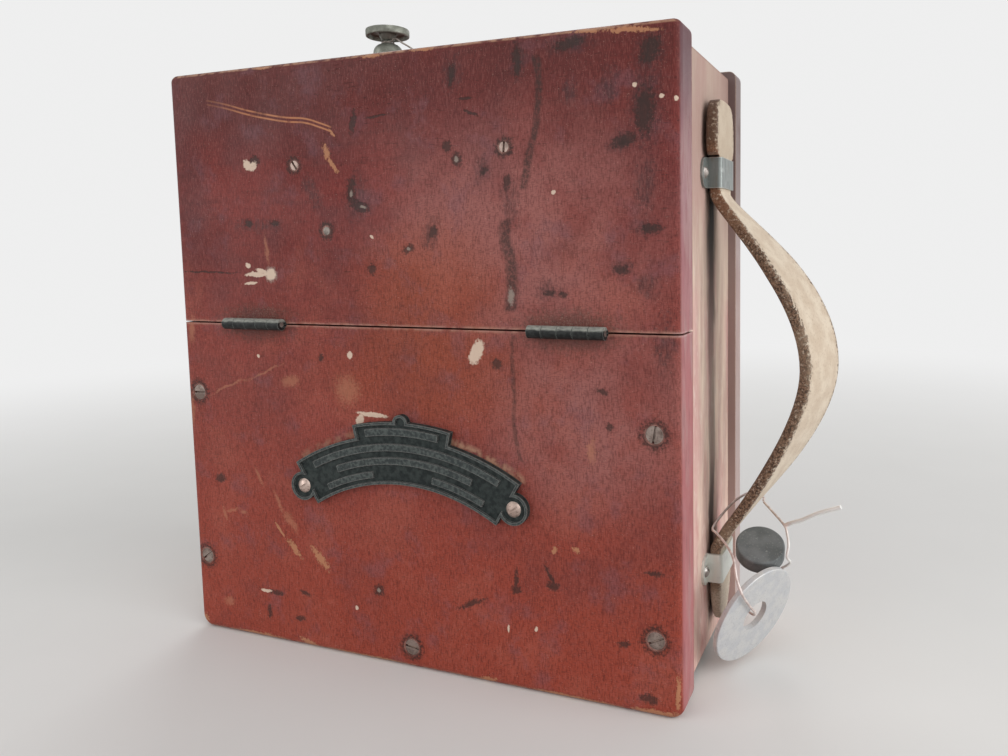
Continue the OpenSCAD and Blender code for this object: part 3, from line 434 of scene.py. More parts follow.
DARK_MARKS = [
    (-16.4, 193.2, 8, 80, 2.2), (-6.2, 194.8, 10.5, 3, 0.8), (-18.2, 169.3, 9, -85, 2.9),
    (-14.8, 164.4, 8.5, -18, 3.3), (-17.6, 173.0, 3, 40, 2.6), (-10.8, 142.6, 3.8, 0, 3.4),
    (4.3, 149.6, 4.4, 20, 2.4), (-64.5, 159.8, 4.4, 0, 2.6), (-52.1, 159.5, 3.6, 0, 1.6),
    (-60.4, 182.2, 4.6, 0, 3.0), (46.5, 208, 10, 90, 2.4), (23.0, 205.5, 7.5, 80, 2.0),
    (27.7, 197.9, 5, 0, 0.9), (29.6, 193.2, 6, -20, 0.9), (20.5, 183, 3.2, 0, 3),
    (23.9, 178.6, 4, 0, 4), (14.1, 155.1, 4.4, 60, 2.6), (33.8, 174.5, 4, 30, 2),
    (42.1, 170.6, 5, 90, 2.4), (90, 207.3, 8, 60, 5), (88.2, 190, 14, 90, 5.5),
    (81.8, 181.4, 9, 15, 3.2), (90.1, 154.8, 7, 0, 2.4), (80.5, 142.5, 5, 0, 2.6),
    (64.5, 211.7, 10, 10, 3), (56.5, 135, 4, 0, 2), (61, 134.6, 3, 0, 1.6),
    (-84.5, 141.8, 27, -1, 0.6), (36.7, 111.6, 3.6, 0, 3.2), (41.8, 38, 9, 88, 1.5),
    (41.8, 35.2, 3.4, 0, 2.8), (54.6, 41.5, 8, -64, 1.5), (55.4, 38.4, 5, 0, 2.8),
    (24.5, 27.8, 12, 25, 1.7), (73.5, 104.2, 4, -20, 1.6), (76, 93.2, 2.6, 0, 2.2),
    (90, 47.2, 6, 0, 1.6), (88, 5.7, 6, 0, 3), (79.9, 22.5, 4, 0, 2.2), (-60.5, 19.3, 7, 2, 2.0),
    (-46.9, 21.1, 5, -20, 1.8), (-13.5, 27.1, 4.4, 0, 3.6), (-64.3, 10.9, 6, 88, 1.8),
    (-49.9, 10.8, 5, 10, 1.6), (-34.4, 110.9, 3, 80, 1.8), (-85, 62, 5, 0, 3),
]
SMUDGES = [
    (88.3, 191, 24, 88, 9), (90, 207, 13, 60, 8), (82, 181.4, 12, 14, 5), (88.5, 168, 16, 88, 6),
    (80.5, 143, 9, 10, 4), (88.5, 155, 9, 0, 5), (77, 198, 12, 80, 6), (64.2, 197, 9, 80, 5),
    (88.8, 138, 8, 0, 6), (56, 136, 9, 0, 6), (23, 206, 12, 85, 6), (33, 175, 10, 70, 5),
    (-35, 170, 14, -60, 5), (43, 164, 16, 88, 6), (47, 209, 14, 88, 5), (-16.5, 168, 16, 80, 9),
    (64.5, 211, 16, 8, 5), (-62, 159, 26, 0, 4), (13, 155, 12, 70, 6), (94, 120, 20, 88, 6),
]
SHADE_MARKS = [
    (88.5, 172, 26, 90, 9), (88.8, 139, 9, 0, 8), (90, 196, 34, 88, 10), (56, 137, 16, 0, 9),
    (14, 158, 26, 80, 12), (-85, 198, 30, -20, 12), (-60, 198, 60, -8, 18), (86, 60, 60, 86, 14),
    (60, 66, 44, 10, 20), (-40, 190, 50, 0, 16), (64, 150, 30, 0, 14), (-90, 170, 60, 88, 12),
]
PALE_MARKS = [
    (85.3, 197.6, 1.5, 0, 1.4), (93.6, 193.7, 1.5, 0, 1.4), (98.0, 192.6, 1.2, 0, 1.4),
    (-63.6, 180.9, 4.2, -48, 2.6), (-61.0, 180.4, 4.2, 34, 2.6), (29.3, 115.2, 9, 62, 3.8),
    (-55.4, 141.0, 4.4, 10, 3.8), (-59.4, 142.2, 6, -8, 1.4), (-61.5, 141.0, 11, 0, 1.6),
    (-64.8, 137.8, 6, 3, 1.0), (-66, 144.2, 2.4, -20, 1.4), (-21.7, 112.4, 2.4, 0, 2.2),
    (-63.3, 110.5, 1.2, 0, 1.1), (-13, 91.4, 13, -4, 1.4), (-18.6, 89.4, 4.4, 62, 2.4),
    (-10.5, 154.0, 1.8, -40, 0.9), (58.3, 166.8, 1.4, 0, 1.2), (-65.5, 19.5, 5, 4, 1.2),
    (-23.5, 18.8, 1.4, 0, 1.4), (49, 22.6, 1.6, 70, 1.1), (38.5, 21, 3, 88, 0.7),
]
GREY_MARKS = [
    (23.9, 178.6, 1.8, 0, 1.8), (-18.3, 168.9, 2.4, 80, 1.0), (-13.6, 164.2, 3, -10, 0.8),
    (-55.2, 141.0, 5.6, 0, 4.8), (-13.5, 27.1, 1.6, 0, 1.4), (4.3, 149.6, 1.6, 0, 1.0),
    (42.6, 134, 6, 90, 2),
]
STAIN = [(168, 47.6), (179.6, 50.5), (188.1, 52.7), (194.9, 53.6), (202.3, 54.0), (209.2, 52.7)]
LOW_STAIN = [(129, 41.9), (132.3, 42.7), (140.8, 43.2), (147.4, 42.4), (154, 40.9), (159, 42.4)]
PANEL_STAIN = [(78.7, 45.8), (84.2, 43.6), (92.9, 42.6), (101.5, 42.8), (111.8, 42.4), (121, 42.7)]
DOUBLE_SCRATCH = [(-81, 204.6), (-71.5, 202.4), (-63.6, 200.1), (-54.9, 198.0), (-44.5, 196.0),
                  (-37.2, 195.2), (-30.1, 193.1), (-25.8, 191.5)]
PANEL_SCREWS_AT = [(-93.3, 95.4), (-94.2, 29.8), (-0.3, 7.8), (90.5, 91.6), (90.5, 25.4)]
LID_SCREWS_AT = [(-42.3, 179.8), (41.2, 181.7), (-29.4, 156.4)]
SEAM, LID_TOP, BOARD_X, BACK_FACE, HINGE_X = 122.8, 216, 99.5, 35.5, 62.6
BOARD_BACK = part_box("lid")[1][1] / MM
print("marks on the front:", len(TAN_MARKS + SOFT_MARKS + DARK_MARKS + PALE_MARKS + GREY_MARKS))


# %% [markdown]
# The front
#
# The lid and the lower panel were one finish once. The grain runs level and is faint under the
# varnish. The red is darker and purple at the top and the right edge, with a hazy pink painted
# sheen in the middle, and more orange low down. A long dark stain runs down right of the middle,
# and the edges are rubbed pale. The screws sit in rings of painted shade, and the cast plate has a
# worn line round its arch.

# %% Finish of the front
ARCH_MIDDLE, ARCH_TOP = (-0.5, 0, -2), 87.4


def front_tone(wood):
    """The broad colours of the front, before its marks."""
    def glow(x, z, wide, high, seed):
        return wood.cloud(wood.wander(14, 0.05, seed), x, z, (wide, 300, high))

    high, mottle = wood.z, wood.noise(0.028, 6, seed=22, rough=0.62)
    wood.wear(SHADE_MARKS, 0.0, 0.9, 9, 8, 0.1, 0.45, PURPLE)
    wood.coat(wood.limits(high, 165, 214, 0, 0.68), DEEP)
    wood.coat(wood.limits(high, 165, 105, 0, 0.42), (0.36, 0.086, 0.062))
    wood.coat(wood.limits(high, 115, 10, 0, 0.72), (0.36, 0.062, 0.034))
    # A painted sheen: a soft hazy highlight over the middle of the front.
    painted_sheen = wood.limits(wood.most(glow(44, 152, 78, 58, 9), glow(66, 96, 60, 44, 12)), 0, 0.8)
    broken = wood.patches(0.045, 6, 21, 0.36, 0.6, 0.35, 1.0, rough=0.6)
    wood.coat(wood.times(painted_sheen, broken), (0.33, 0.122, 0.108))
    wood.coat(wood.limits(glow(12, 133, 42, 34, 11), 0, 0.8, 0, 0.6), ORANGE)
    wood.coat(wood.limits(glow(8, 105, 60, 26, 13), 0, 0.8, 0, 0.5), ORANGE)
    wood.coat(wood.limits(mottle, 0.50, 0.66, 0, 0.32), (0.150, 0.045, 0.046))
    warm = wood.times(wood.limits(mottle, 0.48, 0.34, 0, 0.30), wood.limits(high, 175, 130))
    wood.coat(warm, (0.43, 0.120, 0.082))
    wood.coat(wood.patches(0.07, 6, 23, 0.52, 0.68, 0, 0.30, rough=0.62), (0.190, 0.100, 0.125))
    smudge = wood.marks(SMUDGES, 0.0, 0.9, 5, 16, 0.5)
    streaked = wood.patches(0.8, 4, 20, 0.35, 0.62, 0.25, 0.62, (1, 1, 0.3))
    wood.coat(wood.times(smudge, streaked), (0.046, 0.032, 0.034))


def hinge_grime(wood):
    """Dirt that the hinges have pressed into the wood round their barrels, with pale dust in it."""
    rows = [(side * HINGE_X, SEAM + up, 34, 0, 9) for side in (-1, 1) for up in (-1.4, 1.8)]
    grime = wood.wear(rows, 0.0, 0.8, 2.2, 14, 0.4, 0.5, (0.050, 0.036, 0.030))
    crumbs = wood.patches(2.3, 6, 15, 0.5, 0.68, 0, 0.5, rough=0.7)
    above = wood.limits(wood.z, SEAM - 1, SEAM + 1, 0.3, 1.0)
    wood.coat(wood.times(grime, crumbs, above), (0.36, 0.26, 0.20))


def front_stains(wood):
    """The long dark stain in its three stretches, mottled, and the double scratch."""
    at = wood.wander(1.6, 0.3, 17)
    x, z = (wood.add("SeparateXYZ", {0: at}, out=i) for i in (0, 2))
    faint = wood.times(wood.line(x, z, PANEL_STAIN, 0.3, 0.9), 0.7)
    stain = wood.most(wood.line(x, z, STAIN, 0.6, 1.3), wood.line(x, z, LOW_STAIN, 1.0, 2.0), faint)
    mottle = wood.patches(0.9, 5, 18, 0.3, 0.6, 0.35, 1.0, rough=0.6)
    wood.coat(wood.times(stain, mottle, 0.74), (0.036, 0.028, 0.025))
    scratch = wood.line(wood.z, wood.x, DOUBLE_SCRATCH, 0.12, 0.36, 0.72)
    fading = wood.limits(wood.x, -80, -58, 0.25, 0.95)
    broken = wood.patches(0.25, 4, 19, 0.3, 0.5, 0.3, 1)
    wood.coat(wood.times(scratch, fading, broken), (0.48, 0.20, 0.10))


def seam_wear(wood):
    """Pale lines at the seam, at the top and bottom, and round the arch of the plate."""
    seam = wood.limits(wood.off(wood.z, SEAM), 1.6, 0.3, 0, 0.35)
    foot = wood.between(wood.z, 0.1, 0.5, 0.9, 1.8)
    head = wood.between(wood.z, LID_TOP - 1.6, LID_TOP - 1, LID_TOP - 0.5, LID_TOP - 0.1)
    ends = wood.most(wood.times(foot, 0.6), wood.times(head, 0.75))
    flat = wood.add("CombineXYZ", {0: wood.x, 2: wood.z})
    reach = wood.add("VectorMath", {0: flat, 1: ARCH_MIDDLE}, out=1, operation="DISTANCE")
    arch = wood.times(wood.between(reach, ARCH_TOP - 0.6, ARCH_TOP, ARCH_TOP + 0.6, ARCH_TOP + 2.8),
                      wood.limits(wood.z, 68, 73), wood.limits(wood.x, 4, 20, 0.4, 0.85),
                      wood.limits(wood.sideways, 47, 44))
    return wood.times(wood.most(seam, ends, arch), wood.patches(0.35, 6, 25, 0.38, 0.6))


def board_edge(wood):
    """Lilac dust on the sides of a board, and a pale rubbed corner that turns into a painted lilac
    highlight along the side.
    """
    front = wood.colour
    wood.colour = wood.tint(wood.limits(wood.z, 90, 190), (0.40, 0.150, 0.155),
                            (0.30, 0.165, 0.180))
    wood.coat(wood.patches(0.12, 5, 33, 0.42, 0.62, 0, 0.6, (1, 1, 0.3)), (0.40, 0.27, 0.26))
    wood.coat(wood.patches(0.5, 5, 34, 0.5, 0.7, 0, 0.45, (1, 1, 0.2)), (0.24, 0.085, 0.090))
    wood.coat(wood.limits(wood.z, 170, 210, 0, 0.85), (0.090, 0.044, 0.052))
    side = wood.times(wood.limits(wood.sideways, BOARD_X - 0.9, BOARD_X - 0.2), 0.92)
    wood.colour = wood.tint(side, front, wood.colour)
    # The pale corner is rubbed wear; where it turns lilac, along the side between z 90 and 180, it
    # is a painted highlight.
    worn = wood.times(wood.edges(1.4), wood.patches(0.3, 5, 35, 0.35, 0.6, 0.15, 0.9))
    lilac_highlight = wood.times(wood.limits(wood.sideways, 96, 98), wood.limits(wood.z, 90, 180))
    wood.coat(worn, wood.tint(lilac_highlight, (0.44, 0.22, 0.18), (0.56, 0.47, 0.52)))


def front_wood():
    wood = Finish("worn_mahogany", Specular_IOR_Level=0.14)
    pores = grain(wood, LEVEL, 0)
    front_tone(wood)
    folds = crinkle(wood, 12)
    # Dark rings round the screws: painted shade at the edges of the screw holes.
    screw_shade_rings = ([(x, z, 8.6, 0, 7.6) for x, z in PANEL_SCREWS_AT]
             + [(x, z, 6.0, 0, 5.1) for x, z in LID_SCREWS_AT])
    wood.wear(screw_shade_rings, 0.0, 0.55, 1.8, 7, 0.4, 0.84, (0.034, 0.023, 0.020))
    hinge_grime(wood)
    front_stains(wood)
    wood.wear(SOFT_MARKS, 0.1, 0.8, 3.0, 5, 0.35, 0.42, (0.50, 0.22, 0.13))
    rub = wood.wear(TAN_MARKS, 0.2, 0.6, 1.6, 3, 0.5, 0.8, TAN)
    dents = wood.wear(DARK_MARKS, 0.08, 0.62, 1.8, 4, 0.42, 0.74, (0.036, 0.026, 0.023))
    wood.wear(GREY_MARKS, 0.15, 0.6, 1.0, 10, 0.3, 0.75, (0.33, 0.27, 0.23))
    wood.wear(PALE_MARKS, 0.2, 0.45, 1.3, 6, 0.22, 0.9, PALE)
    wood.coat(seam_wear(wood), (0.46, 0.26, 0.17))
    board_edge(wood)
    outside = wood.colour
    grain(wood, LEVEL, 31)
    behind = wood.limits(wood.y, BOARD_BACK - 0.6, BOARD_BACK - 0.1)
    wood.colour = wood.tint(behind, outside, wood.colour)
    rough = wood.patches(0.05, 5, 27, 0.35, 0.65, 0.40, 0.58)
    worn = wood.times(wood.most(dents, rub), wood.flip(behind))
    relief = wood.bump(wood.flip(wood.most(pores, worn)), 0.5, 0.0003)
    return wood.done(Roughness=rough, Normal=wood.bump(folds, 0.14, 0.0003, relief))


dress(front_wood(), "lid", "front_panel")

# %% [markdown]
# The side wall
#
# The right wall has lost its varnish: it is dusty beige and pink in upright streaks. Behind the
# strap runs a dark band of grime and painted shadow, almost black under the upper clip and above
# the lower one.

# %% Finish of the side walls
STRAP_MIDDLE = 5.5
WALL_X, WALL_TOP = 96.5, 213


def strap_grime(wood):
    """The dark band behind the strap, grime with a painted shadow of the strap, strongest next to
    the two clips.
    """
    wobble = wood.patches(0.07, 4, 53, 0.3, 0.7, -2.0, 2.0, (1, 1, 0.5))
    off = wood.off(wood.math("ADD", wood.y, wobble), STRAP_MIDDLE)
    across = wood.limits(off, wood.limits(wood.z, 90, 150, 6.4, 9.0), 2.6)
    upper = wood.limits(wood.z, 96, 160, 0.55, 1.0)
    lower = wood.limits(wood.z, 98, 52, 0.0, 0.9)
    ends = wood.between(wood.z, 6, 16, 170, 184)
    return wood.times(across, wood.most(upper, lower), ends, 0.96)


def side_wood(name, grime):
    wood = Finish(name, Roughness=0.66, Specular_IOR_Level=0.08)
    streak = wood.patches(0.17, 5, 41, 0.38, 0.62, along=(1, 1, 0.12))
    wood.colour = wood.tint(streak, (0.60, 0.435, 0.36), (0.78, 0.63, 0.51))
    wood.coat(wood.patches(0.05, 5, 44, 0.47, 0.64, 0, 0.7, (1, 1, 0.35)), (0.62, 0.35, 0.33))
    wood.coat(wood.limits(wood.z, 110, 15, 0, 0.4), (0.80, 0.50, 0.46))
    smear = wood.patches(0.11, 5, 43, 0.5, 0.68, along=(1, 1, 0.5), rough=0.6)
    wood.coat(wood.times(smear, wood.limits(wood.z, 105, 45, 0, 0.45)), (0.50, 0.175, 0.165))
    wood.coat(wood.patches(2.2, 4, 47, 0.5, 0.7, 0, 0.3, UPRIGHT), (0.36, 0.20, 0.16))
    wood.coat(wood.patches(0.8, 6, 49, 0.5, 0.75, 0, 0.5, (1, 1, 0.3)), (0.76, 0.67, 0.59))
    wood.coat(wood.limits(wood.z, 115, 185, 0, 0.78), (0.35, 0.245, 0.208))
    rear = wood.times(wood.limits(wood.z, 120, 175), wood.limits(wood.y, 12, 32, 0, 0.45))
    wood.coat(rear, (0.24, 0.155, 0.135))
    # The band behind the strap is grime together with a painted shadow of the strap.
    if grime:
        wood.coat(strap_grime(wood), (0.014, 0.010, 0.007))
    fibre = wood.patches(0.3, 7, 48, 0.35, 0.65, along=UPRIGHT, rough=0.6)
    wood.coat(wood.limits(wood.sideways, WALL_X - 0.3, WALL_X - 1.1),
              wood.tint(fibre, (0.26, 0.12, 0.065), (0.40, 0.215, 0.125)))
    end_grain = wood.patches(1.2, 6, 52, 0.35, 0.65)
    ends = wood.times(wood.limits(wood.z, WALL_TOP - 0.7, WALL_TOP - 0.2),
                      wood.limits(wood.sideways, WALL_X + 0.1, WALL_X - 0.2))
    wood.coat(ends, wood.tint(end_grain, (0.115, 0.036, 0.030), (0.20, 0.085, 0.066)))
    return wood.done(Normal=wood.bump(wood.noise(1.4, 6, UPRIGHT, 51), 0.3, 0.0003))


def back_wood():
    wood = Finish("back_mahogany", Roughness=0.5, Specular_IOR_Level=0.3)
    pores = grain(wood, UPRIGHT, 61)
    film = wood.patches(0.03, 5, 64, 0.42, 0.7, 0, 0.5)
    wood.coat(film, HAZE)
    dust_and_shade = wood.tint(wood.noise(0.2, 5, (1, 1, 0.2), 66), (0.40, 0.275, 0.26), (0.52, 0.42, 0.39))
    # The sides and inner face of the back board are dust coloured, and painted shade darkens them
    # towards the top.
    dust_and_shade = wood.tint(wood.limits(wood.z, 110, 190, 0, 0.88), dust_and_shade, (0.110, 0.076, 0.072))
    side = wood.limits(wood.sideways, BOARD_X - 2.5, BOARD_X - 0.2)
    inner = wood.limits(wood.y, BACK_FACE + 3.0, BACK_FACE + 0.7)
    wood.coat(wood.times(wood.most(side, inner), 0.92), dust_and_shade)
    wood.coat(wood.times(wood.edges(0.8), 0.4), PALE)
    relief = wood.bump(wood.flip(pores), 0.35, 0.0002)
    return wood.done(Roughness=wood.limits(film, 0, 0.5, 0.4, 0.65), Normal=relief)


dress(side_wood("dusty_side_wood", True), "right_wall")
dress(side_wood("dusty_left_wood", False), "left_wall")
dress(back_wood(), "back_board")
dress(mahogany("top_mahogany", 71, 0.55), "top_wall", "bottom_wall")
dress(mahogany("inner_mahogany", 75, 0.15), "scale_panel")


# %% [markdown]
# Plain inner wood
#
# The rail, cleats and batten inside were never varnished. They are the same wood, planed and left
# pale, with a fine open grain.

# %% Finish of the inner wood
def bare_wood(name, along, seed):
    wood = Finish(name, Roughness=0.7, Specular_IOR_Level=0.25)
    streak = wood.patches(0.3, 7, seed, 0.35, 0.65, along=along, rough=0.6)
    wood.colour = wood.tint(streak, (0.30, 0.155, 0.085), (0.46, 0.27, 0.16))
    pores = wood.patches(2.4, 2, seed + 2, 0.58, 0.68, along=along)
    wood.coat(wood.times(pores, 0.6), (0.13, 0.06, 0.03))
    return wood.done(Normal=wood.bump(wood.flip(pores), 0.3, 0.0002))


dress(bare_wood("bare_wood_level", LEVEL, 81), "cross_rail", "lid_batten")
dress(bare_wood("bare_wood_upright", UPRIGHT, 84), "side_cleats")

# %% [markdown]
# Metals
#
# Old metal is two things: the bright metal on edges that hands and tools touch, and a dull film
# everywhere else. One function mixes the two, with specks of dirt and fine scratches, and each
# metal of the instrument is one row: its bright colour, its film, its dirt, whatever differs from
# the usual, and the nodes that it covers.

# %% Metals
METALS = {
    "old_steel": ((0.46, 0.43, 0.40), (0.24, 0.20, 0.18), (0.10, 0.06, 0.045), {"seed": 1},
                  "hinge_pins back_screws clip_screws pole_screws coil_staffs movement_screws"),
    "brass": ((0.68, 0.50, 0.24), (0.42, 0.29, 0.13), (0.16, 0.10, 0.05), {"seed": 2, "speck": 0.3},
              "terminal_nuts shunt_blocks scale_panel_screws bezel glazing_points dial_screws "
              "pointer_stops core_stays balance_nuts bridges jewel_screws movement_pillars "
              "bare_stud"),
    "blackened_brass": ((0.20, 0.185, 0.13), (0.060, 0.056, 0.040), (0.022, 0.020, 0.016),
                        {"rough": (0.4, 0.7), "amount": 0.95, "wear": 0.8, "seed": 3,
                         "metallic": 0.6},
                        "hinge_panel_screws hinge_lid_screws"),
    "terminal_metal": ((0.26, 0.27, 0.230), (0.155, 0.162, 0.134), (0.060, 0.058, 0.046),
                       {"rough": (0.40, 0.62), "amount": 0.8, "wear": 0.55, "seed": 5,
                        "metallic": 0.5, "speck": 0.45}, "terminal_post"),
    "soft_iron": ((0.36, 0.35, 0.34), (0.17, 0.165, 0.16), (0.07, 0.055, 0.045), {"seed": 6},
                  "pole_shoes core"),
    "shunt_alloy": ((0.50, 0.42, 0.33), (0.34, 0.27, 0.20), (0.14, 0.10, 0.07),
                    {"seed": 7, "speck": 0.2}, "shunt_strips hairsprings"),
    "aluminium": ((0.70, 0.70, 0.69), (0.52, 0.52, 0.51), (0.25, 0.25, 0.24),
                  {"seed": 8, "speck": 0.2}, "coil_former"),
    "pale_bronze": ((0.58, 0.45, 0.39), (0.34, 0.24, 0.20), (0.09, 0.055, 0.042),
                    {"rough": (0.3, 0.5), "amount": 0.55, "seed": 9, "metallic": 0.6},
                    "nameplate_screws"),
    "panel_screw_steel": ((0.36, 0.29, 0.255), (0.15, 0.105, 0.088), (0.045, 0.024, 0.019),
                          {"amount": 0.85, "seed": 11, "wear": 0.9}, "panel_screws"),
    "lid_screw_steel": ((0.36, 0.26, 0.22), (0.20, 0.145, 0.12), (0.06, 0.035, 0.028),
                        {"seed": 12, "metallic": 0.4}, "lid_screws"),
    "dull_brad": ((0.22, 0.185, 0.16), (0.10, 0.08, 0.068), (0.034, 0.024, 0.019),
                  {"seed": 14, "metallic": 0.3}, "lid_brad"),
    "plated_washer": ((0.61, 0.61, 0.605), (0.525, 0.535, 0.555), (0.36, 0.35, 0.34),
                      {"rough": (0.46, 0.6), "amount": 0.8, "wear": 0.7, "seed": 13,
                       "metallic": 0.3, "speck": 0.4}, "loose_washer"),
    "grey_wire": ((0.40, 0.36, 0.32), (0.27, 0.23, 0.20), (0.11, 0.085, 0.07),
                  {"seed": 17, "metallic": 0.4}, ""),
}


def metal(name, bright, film, dark, seed, rough=(0.3, 0.6), amount=0.6, wear=0.5, metallic=0.85,
          speck=0.5):
    skin = Finish(name, Metallic=metallic)
    dull = skin.patches(0.25, 6, seed, 0.36, 0.62, 0, amount)
    skin.colour = skin.tint(dull, bright, film)
    skin.coat(skin.patches(1.6, 6, seed + 4, 0.52, 0.7, 0, speck), dark)
    skin.coat(skin.times(skin.edges(0.35), wear), bright)
    relief = skin.bump(skin.noise(2.4, 6, seed=seed + 7), 0.25, 0.00012)
    return skin.done(Roughness=skin.limits(dull, 0, amount, *rough), Normal=relief)


METAL = {name: metal(name, *colours, **more) for name, (*colours, more, _) in METALS.items()}
for name, (*_, nodes) in METALS.items():
    dress(METAL[name], *nodes.split())
print("metals:", len(METAL))

# %% [markdown]
# Hinges, clips and cast plate
#
# The hinges are black, with pale dust and a painted highlight along the tops of their barrels.
# The clips are tinned sheet, blue-grey, with rusty streaks that run down; the upper clip is
# painted darker and the lower one carries a painted highlight. The plate is a dark casting, nearly
# black, and its raised rims and bars have rubbed to a warm grey.

# %% Hinges, clips and plate
PLATE_GROUND, PLATE_PROUD = -49.6, -49.85


def hinge_skin():
    skin = Finish("black_hinge", Roughness=0.45, Specular_IOR_Level=0.2)
    # The top of each barrel is painted lighter: pale dust together with a painted highlight from
    # the light above.
    shake = skin.patches(0.5, 5, 3, 0.3, 0.7, -0.12, 0.12)
    top = skin.limits(skin.math("ADD", skin.z, shake), SEAM + 0.5, SEAM + 1.3)
    top = skin.times(top, skin.limits(skin.y, FRONT_Y + 1.5, FRONT_Y))
    skin.colour = skin.tint(skin.patches(0.8, 5, 4, 0.4, 0.7), (0.009, 0.010, 0.010),
                            (0.026, 0.028, 0.027))
    dust = skin.tint(skin.patches(1.6, 5, 5, 0.3, 0.7, along=(0.4, 1, 1)), (0.20, 0.205, 0.19),
                     (0.36, 0.37, 0.325))
    skin.coat(skin.times(top, 0.92), dust)
    skin.coat(skin.times(skin.edges(0.3), 0.5), (0.26, 0.28, 0.26))
    return skin.done(Normal=skin.bump(skin.noise(1.8, 5, seed=6), 0.1, 0.0001))


def clip_metal():
    tin = Finish("clip_steel", Metallic=0.5)
    streak = tin.noise(0.9, 6, (1, 1, 0.12), 91, 0.6)
    tin.colour = tin.tint(tin.limits(streak, 0.4, 0.62), (0.36, 0.385, 0.375),
                          (0.235, 0.255, 0.248))
    tin.coat(tin.patches(0.5, 7, 94, 0.55, 0.68, 0, 0.8, (1, 1, 0.5)), (0.28, 0.235, 0.175))
    # The upper clip is painted darker, and the lower clip carries a painted highlight.
    tin.coat(tin.limits(tin.z, 120, 160, 0, 0.75), (0.150, 0.165, 0.156))
    tin.coat(tin.limits(tin.z, 80, 40, 0, 0.85), (0.78, 0.80, 0.74))
    tin.coat(tin.patches(0.3, 3, 96, 0.55, 0.7, 0, 0.45), (0.52, 0.54, 0.52))
    tin.coat(tin.times(tin.edges(0.4), 0.6), (0.60, 0.60, 0.56))
    return tin.done(Roughness=tin.limits(streak, 0.4, 0.62, 0.32, 0.5),
                    Normal=tin.bump(tin.noise(1.2, 6, (1, 1, 0.3), 98), 0.3, 0.0002))


def cast_plate():
    skin = Finish("plate_casting", Metallic=0.15, Specular_IOR_Level=0.2)
    skin.colour = skin.tint(skin.patches(0.5, 6, 101, 0.35, 0.65), (0.015, 0.020, 0.020),
                            (0.036, 0.045, 0.043))
    rubbed = skin.tint(skin.patches(0.9, 6, 104, 0.4, 0.62), (0.038, 0.046, 0.046),
                       (0.088, 0.102, 0.097))
    skin.coat(skin.limits(skin.y, PLATE_GROUND, PLATE_PROUD), rubbed)
    skin.coat(skin.times(skin.edges(0.5), 0.6), (0.235, 0.225, 0.215))
    return skin.done(Roughness=skin.patches(1.2, 5, 107, 0.3, 0.7, 0.42, 0.72),
                     Normal=skin.bump(skin.noise(1.7, 8, seed=109, rough=0.65), 0.5, 0.0003))


dress(hinge_skin(), "hinge_panel_leaves", "hinge_lid_leaves")
dress(clip_metal(), "handle_clips")
dress(cast_plate(), "nameplate")

# %% [markdown]
# Rubber, ebonite, paint, glass and cotton
#
# The loose disc is black rubber gone grey, full of pale specks. The insulating bushings are
# ebonite, which fades to a brown bloom. The magnet is painted, the dial is white paint that has
# yellowed, and the window is plain glass.

# %% Other finishes
SPECKLED = {
    "black_rubber": ((0.110, 0.121, 0.122), (0.170, 0.183, 0.186), (0.34, 0.36, 0.35),
                     0.6, 111, 1.5, "rubber_disc"),
    "ebonite": ((0.030, 0.026, 0.022), (0.060, 0.045, 0.032), (0.12, 0.10, 0.07),
                0.45, 114, 1.5, "terminal_bushings"),
    "magnet_paint": ((0.24, 0.030, 0.022), (0.17, 0.026, 0.020), (0.07, 0.035, 0.03),
                     0.4, 117, 0.7, "magnet"),
    "pointer_black": ((0.018, 0.018, 0.02), (0.035, 0.035, 0.036), (0.08, 0.075, 0.07),
                      0.4, 119, 0.9, "pointer"),
    "scale_ink": ((0.015, 0.015, 0.017), (0.03, 0.028, 0.027), (0.09, 0.08, 0.07),
                  0.6, 181, 1.5, ""),
}


def speckled(name, base, film, fleck, rough, seed, grit):
    skin = Finish(name, Roughness=rough, Specular_IOR_Level=0.35)
    skin.colour = skin.tint(skin.patches(0.16, 5, seed, 0.35, 0.65), base, film)
    skin.coat(skin.patches(grit, 7, seed + 2, 0.58, 0.68, 0, 0.8, rough=0.7), fleck)
    skin.coat(skin.times(skin.edges(0.4), 0.5), fleck)
    return skin.done(Normal=skin.bump(skin.noise(grit, 6, seed=seed + 4), 0.4, 0.0002))


def dial_paint():
    skin = Finish("dial_face", Roughness=0.55)
    skin.colour = skin.tint(skin.patches(0.03, 6, 121, 0.35, 0.7), (0.78, 0.74, 0.62),
                            (0.66, 0.58, 0.42))
    skin.coat(skin.patches(0.9, 5, 124, 0.66, 0.74, 0, 0.5), (0.36, 0.24, 0.12))
    return skin.done(Normal=skin.bump(skin.noise(1.8, 5, seed=126), 0.1, 0.0001))


def window_glass():
    pane = Finish("window_glass", Roughness=0.02, IOR=1.5, Transmission_Weight=1.0)
    dust = pane.patches(0.05, 6, 131, 0.4, 0.8, 0.97, 0.88)
    pane.colour = pane.add("CombineColor", {0: dust, 1: dust, 2: dust})
    return pane.done(Normal=pane.bump(pane.noise(0.03, 2, seed=133), 0.04, 0.001))


def cotton_sleeve():
    weave = Finish("cotton_sleeve", Roughness=0.85, Sheen_Weight=0.3)
    twist = weave.noise(3.0, 3, (1, 1, 0.5), 141)
    weave.colour = weave.tint(weave.limits(twist, 0.4, 0.6), (0.28, 0.05, 0.035),
                              (0.42, 0.10, 0.07))
    return weave.done(Normal=weave.bump(twist, 0.6, 0.0003))


